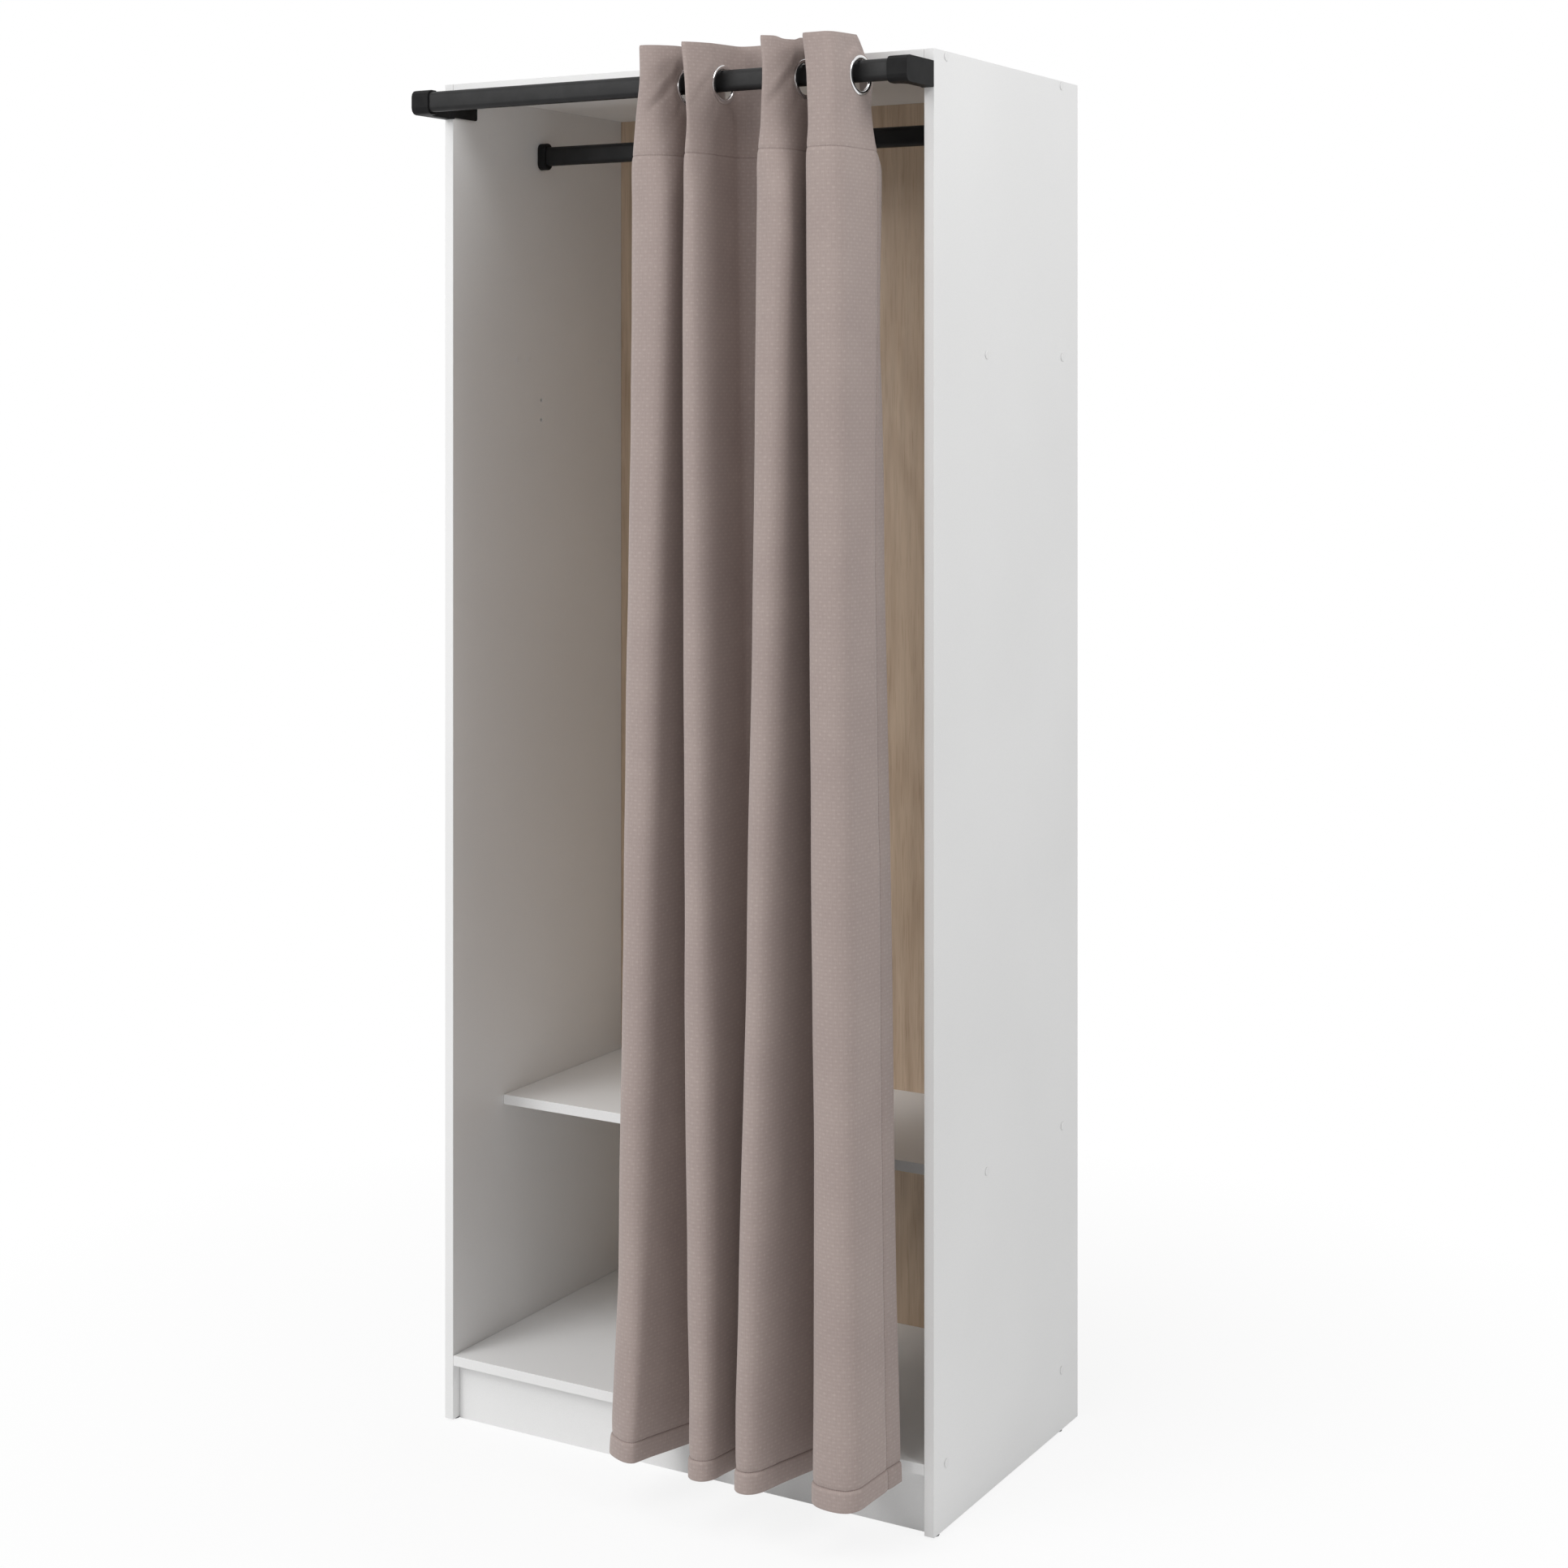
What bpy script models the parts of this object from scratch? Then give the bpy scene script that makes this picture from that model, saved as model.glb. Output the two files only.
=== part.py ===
# Curtain wardrobe: a white board carcass on four glides, open at the front, with
# one fixed shelf and a clothes rail. An eyelet curtain slides along an oval rail
# that two moulded brackets carry in front of the carcass.
# Metres, +Z up, +Y towards the back. The origin is on the floor, under the middle
# of the whole object with its curtain.

import math

import bmesh
import bpy
from mathutils import Matrix, Vector

# Fits
FIT_GAP = 0.0003
CUT_OVERRUN = 0.002

# Carcass boards, measured from the carcass's front edge and the sides' lower end
CARCASS_WIDTH = 0.820
CARCASS_DEPTH = 0.480
CARCASS_HEIGHT = 2.000
BOARD_THICKNESS = 0.015
BOTTOM_PANEL_HEIGHT = 0.0808
SHELF_HEIGHT = 0.4423
SHELF_SETBACK = 0.1275
SPARE_SHELF_HEIGHT = 1.5830
PLINTH_SETBACK = 0.0157
PLINTH_FLOOR_GAP = 0.0005

# Back panel, in a groove all round
BACK_THICKNESS = 0.003
BACK_RECESS = 0.0223
GROOVE_DEPTH = 0.006

# Connecting screws, with a shoulder as long as the side is thick
SCREW_FRONT_SETBACK = 0.0367
SCREW_REAR_SETBACK = 0.0597
SHELF_SCREW_REAR_SETBACK = 0.0567
SCREW_HEAD_RADIUS = 0.005
SCREW_HEAD_CONE = 0.004
SCREW_SHOULDER_RADIUS = 0.0035
SCREW_THREAD_RADIUS = 0.0025
SCREW_LENGTH = 0.050
SCREW_SOCKET_RADIUS = 0.0021
SCREW_SOCKET_DEPTH = 0.0025

# Wooden dowels, glued into the ends of the boards between the sides
DOWEL_SPACING = 0.030
DOWEL_RADIUS = 0.004
DOWEL_REACH = 0.010
PLINTH_DOWEL_EDGE = 0.020

# Round covers, pressed into the heads of the screws
COVER_RADIUS = 0.006
COVER_THICKNESS = 0.0009
COVER_BEVEL = 0.0004
COVER_STEM_RADIUS = 0.0016
COVER_STEM_LENGTH = 0.002

# Floor glides, nailed under the sides
GLIDE_HEIGHT = 0.0025
GLIDE_RADIUS = 0.0072
GLIDE_BEVEL = 0.0006
GLIDE_FRONT_SETBACK = 0.015
GLIDE_REAR_SETBACK = 0.059
NAIL_RADIUS = 0.001
NAIL_LENGTH = 0.014

# Both rails are the same oval tube, standing upright
RAIL_HEIGHT = 0.030
RAIL_DEPTH = 0.015
RAIL_WALL = 0.001

# Clothes rail and the sockets that its ends sit in
CLOTHES_RAIL_SETBACK = 0.2273
CLOTHES_RAIL_DROP = 0.091
RAIL_SOCKET_HEIGHT = 0.042
RAIL_SOCKET_DEPTH = 0.0205
RAIL_SOCKET_LENGTH = 0.014
RAIL_SOCKET_FLOOR = 0.002
PEG_RADIUS = 0.0024
PEG_SPACING = 0.031
PEG_LENGTH = 0.010
SPARE_PEG_DROP = 0.3979

# Curtain rail and its brackets
CURTAIN_RAIL_REACH = 0.0705
CURTAIN_RAIL_DROP = 0.0345
COLLAR_LENGTH = 0.030
COLLAR_WALL = 0.003
COLLAR_CORNER = 0.010
FLARE_LENGTH = 0.012
PLATE_THICKNESS = 0.0035
PLATE_LENGTH = 0.056
PLATE_LIFT = 0.002
PLATE_CORNER = 0.003
BRACKET_PEG_INSET = 0.016

# Eyelets, each clenched through a hole in the cloth
EYELET_BORE_RADIUS = 0.021
EYELET_RIM_RADIUS = 0.027
EYELET_SLEEVE_WALL = 0.001
EYELET_FLANGE_THICKNESS = 0.0015
EYELET_BEVEL = 0.0015
WASHER_THICKNESS = 0.0012
EYELET_TURN = math.radians(4.5)

# Curtain: the gaps from each eyelet to the next, from the free left edge on, and
# from the last eyelet to the right collar
CLOTH_THICKNESS = 0.0016
HEM_HEIGHT = 0.0687
HEADING_RISE = 0.0565
FLAT_HEADING_DROP = 0.035
SHOULDER_DROP = 0.110
EYELET_GAPS = (0.0470, 0.0270, 0.0296, 0.0932, 0.0357, 0.0303, 0.0542)
COLLAR_TO_EYELET = 0.0445
FOLD_ROUNDING = 0.015
FLAP_STRAIGHT = 0.001
BEND_ROOM_SHARE = 0.9

# How far each crest stands in front of the rail's middle, and how near to the
# carcass each valley comes, at the heading and at the hem
HEADING_CREST_REACHES = (0.066, 0.0695, 0.0695, 0.0605)
HEM_CREST_REACHES = (0.0665, 0.0725, 0.0750, 0.0631)
HEADING_VALLEY_GAPS = (0.004, 0.027, 0.004)
HEM_VALLEY_GAPS = (0.004, 0.006, 0.004)
FLAP_GAP = 0.0035

# How far the front and the back of each flank of cloth move sideways on the way
# from the heading to the hem, and the share of it reached at the shoulder
HEM_FRONT_LEANS = (-0.0485, -0.0455, 0.0125, 0.0189, -0.0343, -0.0370, 0.0142, 0.0205)
HEM_BACK_LEANS = (-0.0435, -0.0125, 0.0035, 0.0319, -0.0413, -0.0050, 0.0067, 0.0235)
SHOULDER_SHARES = (0.27, 0.0, 0.0, 0.0, 0.20, 0.0, 0.0, 0.0)
HEADING_FLAP_LEANS = (-0.005, -0.0235)
SHOULDER_FLAP_LEANS = (-0.010, -0.0036)
HEM_FLAP_LEANS = (-0.040, 0.0195)

# Facets of round shapes, counted all the way round or over one bend
HOLE_SIDES = 8
COVER_SIDES = 10
OVAL_STEPS = 6
EYELET_SIDES = 16
CORNER_STEPS = 3
BEND_STEPS = 3

# Derived places
SIDE_INNER_X = CARCASS_WIDTH / 2 - BOARD_THICKNESS
BETWEEN_SIDES_X = SIDE_INNER_X - FIT_GAP
TOP_PANEL_HEIGHT = CARCASS_HEIGHT - BOARD_THICKNESS
BACK_FACE_Y = CARCASS_DEPTH - BACK_RECESS - BACK_THICKNESS
CURTAIN_RAIL_Z = CARCASS_HEIGHT - CURTAIN_RAIL_DROP
CLOTHES_RAIL_Z = CARCASS_HEIGHT - CLOTHES_RAIL_DROP
EYELET_APOTHEM = EYELET_BORE_RADIUS * math.cos(math.pi / EYELET_SIDES)
EYELET_Z = CURTAIN_RAIL_Z + RAIL_HEIGHT / 2 + FIT_GAP - EYELET_APOTHEM
CLOTH_TOP_Z = EYELET_Z + HEADING_RISE
EYELET_COUNT = len(EYELET_GAPS) + 1
CURTAIN_FRONT_Y = -CURTAIN_RAIL_REACH - max(HEM_CREST_REACHES) - CLOTH_THICKNESS / 2
OBJECT_MIDDLE_Y = (CURTAIN_FRONT_Y + CARCASS_DEPTH) / 2

TOWARDS_RIGHT = Matrix.Rotation(math.pi / 2, 4, "Y")
TOWARDS_LEFT = Matrix.Rotation(-math.pi / 2, 4, "Y")


def clear_scene():
    for obj in list(bpy.data.objects):
        bpy.data.objects.remove(obj, do_unlink=True)


def finish_material(name, colour, roughness, metallic=0.0):
    made = bpy.data.materials.new(name)
    made.use_nodes = True
    shader = made.node_tree.nodes["Principled BSDF"]
    shader.inputs["Base Color"].default_value = (*colour, 1.0)
    shader.inputs["Roughness"].default_value = roughness
    shader.inputs["Metallic"].default_value = metallic
    made.diffuse_color = (*colour, 1.0)
    return made


def carrier(name, place, parent=None):
    empty = bpy.data.objects.new(name, None)
    bpy.context.scene.collection.objects.link(empty)
    empty.empty_display_size = EYELET_RIM_RADIUS
    empty.parent = parent
    empty.location = place
    return empty


def sub_part(name, shape, material, parent, origin=(0.0, 0.0, 0.0)):
    """Make an object whose own origin is the given carcass point, under parent."""
    bmesh.ops.translate(shape, verts=shape.verts, vec=-Vector(origin))
    bmesh.ops.recalc_face_normals(shape, faces=shape.faces)
    mesh = bpy.data.meshes.new(name)
    shape.to_mesh(mesh)
    shape.free()
    mesh.shade_smooth()
    mesh.set_sharp_from_angle(angle=math.radians(32))
    obj = bpy.data.objects.new(name, mesh)
    bpy.context.scene.collection.objects.link(obj)
    obj.parent = parent
    if material:
        mesh.materials.append(material)
    return obj


def cut_with(obj, shape, origin=(0.0, 0.0, 0.0), operation="DIFFERENCE"):
    """Cut, join or trim an object with a hidden guide shape."""
    guide = sub_part(f"{obj.name}_{operation.lower()}", shape, None, obj.parent, origin)
    guide.hide_render = True
    guide.display_type = "WIRE"
    modifier = obj.modifiers.new(operation.title(), "BOOLEAN")
    modifier.operation = operation
    modifier.object = guide
    return guide


def add_box(shape, low, high):
    middle = (Vector(low) + Vector(high)) / 2
    size = Vector(high) - Vector(low)
    place = Matrix.Translation(middle) @ Matrix.Diagonal((*size, 1.0))
    bmesh.ops.create_cube(shape, size=1.0, matrix=place)


def join_rings(shape, first, second):
    count = len(first)
    for index in range(count):
        after = (index + 1) % count
        shape.faces.new((first[index], first[after], second[after], second[index]))


def ring_of(shape, along, radius, sides, place):
    """Corners of a polygon that has a side, not a corner, at its top."""
    corners = []
    for index in range(sides):
        angle = 2 * math.pi * (index + 0.5) / sides
        point = Vector((radius * math.cos(angle), radius * math.sin(angle), along))
        corners.append(shape.verts.new(place @ point))
    return corners


def add_turned(shape, profile, place, sides=HOLE_SIDES):
    """Turn a profile of (along, radius) points, closed by a disc at each end."""
    rings = [ring_of(shape, along, radius, sides, place) for along, radius in profile]
    for first, second in zip(rings, rings[1:]):
        join_rings(shape, first, second)
    shape.faces.new(rings[0])
    shape.faces.new(rings[-1])


def add_turned_ring(shape, profile, place, sides):
    """Turn a closed profile of (along, radius) points into a ring."""
    rings = [ring_of(shape, along, radius, sides, place) for along, radius in profile]
    for first, second in zip(rings, rings[1:] + rings[:1]):
        join_rings(shape, first, second)


def add_prism(shape, lower, upper):
    """Join two like outlines of points and close both ends."""
    first = [shape.verts.new(point) for point in lower]
    second = [shape.verts.new(point) for point in upper]
    join_rings(shape, first, second)
    shape.faces.new(first)
    shape.faces.new(second)


def oval_outline(depth, height):
    """Points (y, z) of an upright oval: two straight sides and two half rounds."""
    radius = depth / 2
    rise = height / 2 - radius
    points = []
    for centre, start in ((rise, 0.0), (-rise, math.pi)):
        for index in range(OVAL_STEPS + 1):
            angle = start + math.pi * index / OVAL_STEPS
            points.append((radius * math.cos(angle), centre + radius * math.sin(angle)))
    return points


def add_oval_bar(shape, outline, from_x, to_x, centre_y, centre_z):
    ends = []
    for x in (from_x, to_x):
        ends.append([(x, centre_y + y, centre_z + z) for y, z in outline])
    add_prism(shape, *ends)


def add_oval_tube(shape, end_x, centre_y, centre_z):
    """An oval tube along X with both ends open."""
    inner_depth = RAIL_DEPTH - 2 * RAIL_WALL
    inner_height = RAIL_HEIGHT - 2 * RAIL_WALL
    rings = []
    for x, depth, height in (
        (-end_x, RAIL_DEPTH, RAIL_HEIGHT),
        (end_x, RAIL_DEPTH, RAIL_HEIGHT),
        (end_x, inner_depth, inner_height),
        (-end_x, inner_depth, inner_height),
    ):
        outline = oval_outline(depth, height)
        rings.append([shape.verts.new((x, centre_y + y, centre_z + z)) for y, z in outline])
    for first, second in zip(rings, rings[1:] + rings[:1]):
        join_rings(shape, first, second)


def arc_points(centre, radius, start, sweep):
    points = []
    for index in range(CORNER_STEPS + 1):
        angle = start + sweep * index / CORNER_STEPS
        points.append((centre[0] + radius * math.cos(angle), centre[1] + radius * math.sin(angle)))
    return points


def outward(side):
    """Turn local +Z to point out of the left (-1) or the right (+1) side."""
    return TOWARDS_RIGHT if side > 0 else TOWARDS_LEFT


def on_outer_face(side, y, z):
    return Matrix.Translation((side * CARCASS_WIDTH / 2, y, z)) @ outward(side)


def on_inner_face(side, y, z):
    """A side's inner face, with local +Z out of the board."""
    return Matrix.Translation((side * SIDE_INNER_X, y, z)) @ outward(-side)


def into_side(side, y, z):
    """The same place, with local +Z into the board."""
    return Matrix.Translation((side * SIDE_INNER_X, y, z)) @ outward(side)


def screw_rows():
    """Screws (y, z) in each side: top panel, bottom panel and shelf."""
    middle = BOARD_THICKNESS / 2
    rear = CARCASS_DEPTH - SCREW_REAR_SETBACK
    rows = []
    for height in (TOP_PANEL_HEIGHT, BOTTOM_PANEL_HEIGHT):
        rows.append((SCREW_FRONT_SETBACK, height + middle))
        rows.append((rear, height + middle))
    rows.extend(shelf_screws(SHELF_HEIGHT))
    return rows


def shelf_screws(height):
    front = SHELF_SETBACK + SCREW_FRONT_SETBACK
    rear = CARCASS_DEPTH - SHELF_SCREW_REAR_SETBACK
    return [(front, height + BOARD_THICKNESS / 2), (rear, height + BOARD_THICKNESS / 2)]


def dowels_beside(screws):
    """Two dowels (y, z) between the front and the rear screw of one board."""
    (front, z), (rear, _) = screws
    return [(front + DOWEL_SPACING, z), (rear - DOWEL_SPACING, z)]


def plinth_dowels():
    y = PLINTH_SETBACK + BOARD_THICKNESS / 2
    top = BOTTOM_PANEL_HEIGHT - PLINTH_DOWEL_EDGE
    return [(y, PLINTH_DOWEL_EDGE), (y, top)]


def dowel_rows():
    screws = screw_rows()
    rows = plinth_dowels()
    for index in range(0, len(screws), 2):
        rows.extend(dowels_beside(screws[index:index + 2]))
    return rows


def screw_profile(gap=0.0):
    """Solid outline of a connecting screw from its head, sunk by the fit, inwards."""
    head = gap - FIT_GAP
    return [
        (head, SCREW_HEAD_RADIUS + gap),
        (head - SCREW_HEAD_CONE, SCREW_SHOULDER_RADIUS + gap),
        (-BOARD_THICKNESS, SCREW_SHOULDER_RADIUS + gap),
        (-BOARD_THICKNESS, SCREW_THREAD_RADIUS + gap),
        (-SCREW_LENGTH, SCREW_THREAD_RADIUS + gap),
    ]


def side_hole_profile():
    """Hole through a side for the head and the shoulder of a screw."""
    head, shoulder = screw_profile(FIT_GAP)[:2]
    mouth = (head[0] + CUT_OVERRUN, head[1])
    through = (-BOARD_THICKNESS - CUT_OVERRUN, shoulder[1])
    return [mouth, head, shoulder, through]


def blind_hole(radius, depth):
    """Hole with the fit all round, down from a face that local +Z points out of."""
    return [(CUT_OVERRUN, radius + FIT_GAP), (-depth - FIT_GAP, radius + FIT_GAP)]


def add_side_fixings(cuts, side):
    """Every hole in one side board."""
    for y, z in screw_rows() + shelf_screws(SPARE_SHELF_HEIGHT):
        add_turned(cuts, side_hole_profile(), on_outer_face(side, y, z))
    for y, z in dowel_rows() + dowels_beside(shelf_screws(SPARE_SHELF_HEIGHT)):
        add_turned(cuts, blind_hole(DOWEL_RADIUS, DOWEL_REACH), on_inner_face(side, y, z))
    rows = [(CLOTHES_RAIL_SETBACK, z) for z in peg_heights(CLOTHES_RAIL_Z)]
    rows += [(CLOTHES_RAIL_SETBACK, z - SPARE_PEG_DROP) for _, z in rows]
    for y, z in rows + bracket_pegs():
        add_turned(cuts, blind_hole(PEG_RADIUS, PEG_LENGTH), on_inner_face(side, y, z))
    for y in glide_places():
        add_turned(cuts, blind_hole(NAIL_RADIUS, NAIL_LENGTH), under_side(side, y))


def groove(low, high):
    """Groove for the edge of the back panel, between the given corners in X and Z."""
    front = BACK_FACE_Y - FIT_GAP
    rear = BACK_FACE_Y + BACK_THICKNESS + FIT_GAP
    return (low[0], front, low[1]), (high[0], rear, high[1])


def make_side(name, side, white, parent):
    shape = bmesh.new()
    near, far = sorted((side * SIDE_INNER_X, side * CARCASS_WIDTH / 2))
    add_box(shape, (near, 0.0, 0.0), (far, CARCASS_DEPTH, CARCASS_HEIGHT))
    obj = sub_part(name, shape, white, parent)
    cuts = bmesh.new()
    add_side_fixings(cuts, side)
    low_x, high_x = sorted((side * (SIDE_INNER_X - CUT_OVERRUN), side * (SIDE_INNER_X + GROOVE_DEPTH)))
    low, high = groove((low_x, -CUT_OVERRUN), (high_x, CARCASS_HEIGHT + CUT_OVERRUN))
    add_box(cuts, low, high)
    cut_with(obj, cuts)


def add_dowels(shape, rows):
    """Dowels that stand out of both ends of a board, into the sides."""
    root = -FIT_GAP - DOWEL_REACH
    for side in (-1, 1):
        for y, z in rows:
            profile = [(root, DOWEL_RADIUS), (DOWEL_REACH, DOWEL_RADIUS)]
            add_turned(shape, profile, into_side(side, y, z))


def make_cross_board(name, front, rear, height, screws, white, parent, groove_side=0):
    """A board between the sides, with its dowels and the holes for its screws."""
    shape = bmesh.new()
    low = (-BETWEEN_SIDES_X, front, height)
    high = (BETWEEN_SIDES_X, rear, height + BOARD_THICKNESS)
    add_box(shape, low, high)
    obj = sub_part(name, shape, white, parent)
    dowels = bmesh.new()
    add_dowels(dowels, dowels_beside(screws))
    cut_with(obj, dowels, operation="UNION")
    cuts = bmesh.new()
    for side in (-1, 1):
        for y, z in screws:
            hole = blind_hole(SCREW_THREAD_RADIUS, SCREW_LENGTH - BOARD_THICKNESS)
            add_turned(cuts, hole, into_side(side, y, z))
    if groove_side:
        face = height + BOARD_THICKNESS if groove_side > 0 else height
        levels = (face + groove_side * CUT_OVERRUN, face - groove_side * GROOVE_DEPTH)
        reach = SIDE_INNER_X + CUT_OVERRUN
        add_box(cuts, *groove((-reach, min(levels)), (reach, max(levels))))
    cut_with(obj, cuts)


def make_plinth(white, parent):
    shape = bmesh.new()
    low = (-BETWEEN_SIDES_X, PLINTH_SETBACK, PLINTH_FLOOR_GAP - GLIDE_HEIGHT)
    high = (BETWEEN_SIDES_X, PLINTH_SETBACK + BOARD_THICKNESS, BOTTOM_PANEL_HEIGHT - FIT_GAP)
    add_box(shape, low, high)
    obj = sub_part("plinth", shape, white, parent)
    dowels = bmesh.new()
    add_dowels(dowels, plinth_dowels())
    cut_with(obj, dowels, operation="UNION")


def make_back_panel(material, parent):
    shape = bmesh.new()
    into_groove = GROOVE_DEPTH - FIT_GAP
    half_width = SIDE_INNER_X + into_groove
    low_z = BOTTOM_PANEL_HEIGHT + BOARD_THICKNESS - into_groove
    high_z = TOP_PANEL_HEIGHT + into_groove
    add_box(
        shape,
        (-half_width, BACK_FACE_Y, low_z),
        (half_width, BACK_FACE_Y + BACK_THICKNESS, high_z),
    )
    sub_part("back_panel", shape, material, parent)


def make_carcass(white, wood, parent):
    screws = screw_rows()
    make_side("left_side", -1, white, parent)
    make_side("right_side", 1, white, parent)
    make_cross_board(
        "top_panel", 0.0, CARCASS_DEPTH, TOP_PANEL_HEIGHT, screws[0:2], white, parent, groove_side=-1
    )
    make_cross_board(
        "bottom_panel", 0.0, CARCASS_DEPTH, BOTTOM_PANEL_HEIGHT, screws[2:4], white, parent, groove_side=1
    )
    make_cross_board(
        "shelf", SHELF_SETBACK, BACK_FACE_Y - FIT_GAP, SHELF_HEIGHT, screws[4:6], white, parent
    )
    make_plinth(white, parent)
    make_back_panel(wood, parent)


def make_screws(steel, cover, parent):
    """Screws with a hexagon socket in the head, each under a round cover."""
    number = 0
    for side in (-1, 1):
        for y, z in screw_rows():
            number += 1
            make_screw(f"connecting_screw_{number}", on_outer_face(side, y, z), steel, parent)
            make_screw_cover(f"screw_cover_{number}", on_outer_face(side, y, z), cover, parent)


def make_screw(name, place, material, parent):
    solid = screw_profile()
    mouth = solid[0][0]
    socket = [(mouth - SCREW_SOCKET_DEPTH, SCREW_SOCKET_RADIUS), (mouth, SCREW_SOCKET_RADIUS)]
    shape = bmesh.new()
    add_turned(shape, socket + solid, place)
    sub_part(name, shape, material, parent)


def make_screw_cover(name, place, material, parent):
    profile = [
        (FIT_GAP - COVER_STEM_LENGTH, COVER_STEM_RADIUS),
        (FIT_GAP, COVER_STEM_RADIUS),
        (FIT_GAP, COVER_RADIUS),
        (FIT_GAP + COVER_THICKNESS - COVER_BEVEL, COVER_RADIUS),
        (FIT_GAP + COVER_THICKNESS, COVER_RADIUS - COVER_BEVEL),
    ]
    shape = bmesh.new()
    add_turned(shape, profile, place, COVER_SIDES)
    sub_part(name, shape, material, parent)


def glide_places():
    return (GLIDE_FRONT_SETBACK, CARCASS_DEPTH - GLIDE_REAR_SETBACK)


def under_side(side, y):
    """Middle of a side board's lower edge, with local +Z downwards."""
    x = side * (SIDE_INNER_X + BOARD_THICKNESS / 2)
    return Matrix.Translation((x, y, 0.0)) @ Matrix.Rotation(math.pi, 4, "X")


def make_floor_glides(material, parent):
    """Four round glides, each with a nail up into a side board."""
    profile = [
        (GLIDE_HEIGHT, GLIDE_RADIUS - GLIDE_BEVEL),
        (GLIDE_HEIGHT - GLIDE_BEVEL, GLIDE_RADIUS),
        (FIT_GAP, GLIDE_RADIUS),
        (FIT_GAP, NAIL_RADIUS),
        (-NAIL_LENGTH, NAIL_RADIUS),
    ]
    number = 0
    for side in (-1, 1):
        for y in glide_places():
            number += 1
            shape = bmesh.new()
            add_turned(shape, profile, under_side(side, y), COVER_SIDES)
            sub_part(f"floor_glide_{number}", shape, material, parent)


def peg_heights(middle):
    return [middle - PEG_SPACING / 2, middle + PEG_SPACING / 2]


def add_pegs(obj, side, rows, root):
    """Moulded pegs from inside a plate, through its outer face, into the side."""
    shape = bmesh.new()
    for y, z in rows:
        profile = [(-FIT_GAP - root, PEG_RADIUS), (PEG_LENGTH, PEG_RADIUS)]
        add_turned(shape, profile, into_side(side, y, z))
    cut_with(obj, shape, operation="UNION")


def make_rail_socket(name, side, material, parent):
    """Oval socket for one end of the clothes rail, pegged into the side."""
    face = side * BETWEEN_SIDES_X
    mouth = face - side * RAIL_SOCKET_LENGTH
    floor = face - side * RAIL_SOCKET_FLOOR
    shape = bmesh.new()
    outline = oval_outline(RAIL_SOCKET_DEPTH, RAIL_SOCKET_HEIGHT)
    add_oval_bar(shape, outline, face, mouth, CLOTHES_RAIL_SETBACK, CLOTHES_RAIL_Z)
    obj = sub_part(name, shape, material, parent)
    rows = [(CLOTHES_RAIL_SETBACK, z) for z in peg_heights(CLOTHES_RAIL_Z)]
    add_pegs(obj, side, rows, RAIL_SOCKET_FLOOR / 2)
    bore = bmesh.new()
    outline = oval_outline(RAIL_DEPTH + 2 * FIT_GAP, RAIL_HEIGHT + 2 * FIT_GAP)
    add_oval_bar(bore, outline, mouth - side * CUT_OVERRUN, floor, CLOTHES_RAIL_SETBACK, CLOTHES_RAIL_Z)
    cut_with(obj, bore)


def make_clothes_rail(material, parent):
    shape = bmesh.new()
    end_x = BETWEEN_SIDES_X - RAIL_SOCKET_FLOOR - FIT_GAP
    add_oval_tube(shape, end_x, CLOTHES_RAIL_SETBACK, CLOTHES_RAIL_Z)
    sub_part("clothes_rail", shape, material, parent)


def make_curtain_rail(material, parent):
    shape = bmesh.new()
    end_x = CARCASS_WIDTH / 2 - COLLAR_WALL - FIT_GAP
    add_oval_tube(shape, end_x, -CURTAIN_RAIL_REACH, CURTAIN_RAIL_Z)
    sub_part("curtain_rail", shape, material, parent)


def bracket_plan():
    """Outline (x, y) from above of the right bracket: collar, arm and plate."""
    outer = CARCASS_WIDTH / 2
    collar_end = outer - COLLAR_LENGTH
    collar_back = -CURTAIN_RAIL_REACH + RAIL_DEPTH / 2 + COLLAR_WALL
    front = -CURTAIN_RAIL_REACH - RAIL_DEPTH / 2 - COLLAR_WALL
    bend = SIDE_INNER_X - collar_end
    plate_inner = SIDE_INNER_X - PLATE_THICKNESS
    bend_centre = (collar_end, collar_back + bend)
    points = [(outer, front), (collar_end, front)]
    points += arc_points(bend_centre, bend, -math.pi / 2, math.pi / 2)
    points += [
        (SIDE_INNER_X, -FLARE_LENGTH),
        (plate_inner, 0.0),
        (plate_inner, PLATE_LENGTH),
        (BETWEEN_SIDES_X, PLATE_LENGTH),
        (BETWEEN_SIDES_X, -FIT_GAP),
        (outer, -FIT_GAP),
    ]
    return points


def bracket_elevation():
    """Outline (y, z) from the side of a bracket, round at the front."""
    front = -CURTAIN_RAIL_REACH - RAIL_DEPTH / 2 - COLLAR_WALL
    top = CURTAIN_RAIL_Z + RAIL_HEIGHT / 2 + COLLAR_WALL
    bottom = CURTAIN_RAIL_Z - RAIL_HEIGHT / 2 - COLLAR_WALL
    plate_bottom = bottom + PLATE_LIFT
    quarter = math.pi / 2
    corner = front + COLLAR_CORNER
    points = arc_points((corner, top - COLLAR_CORNER), COLLAR_CORNER, quarter, quarter)
    points += arc_points((corner, bottom + COLLAR_CORNER), COLLAR_CORNER, 2 * quarter, quarter)
    points += [(0.0, bottom), (0.0, plate_bottom)]
    rear_corner = (PLATE_LENGTH - PLATE_CORNER, plate_bottom + PLATE_CORNER)
    points += arc_points(rear_corner, PLATE_CORNER, -quarter, quarter)
    points.append((PLATE_LENGTH, top))
    return points


def bracket_pegs():
    """Two pegs (y, z) behind the plate of a bracket."""
    rear = PLATE_LENGTH - BRACKET_PEG_INSET
    return [(BRACKET_PEG_INSET, CURTAIN_RAIL_Z), (rear, CURTAIN_RAIL_Z)]


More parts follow.
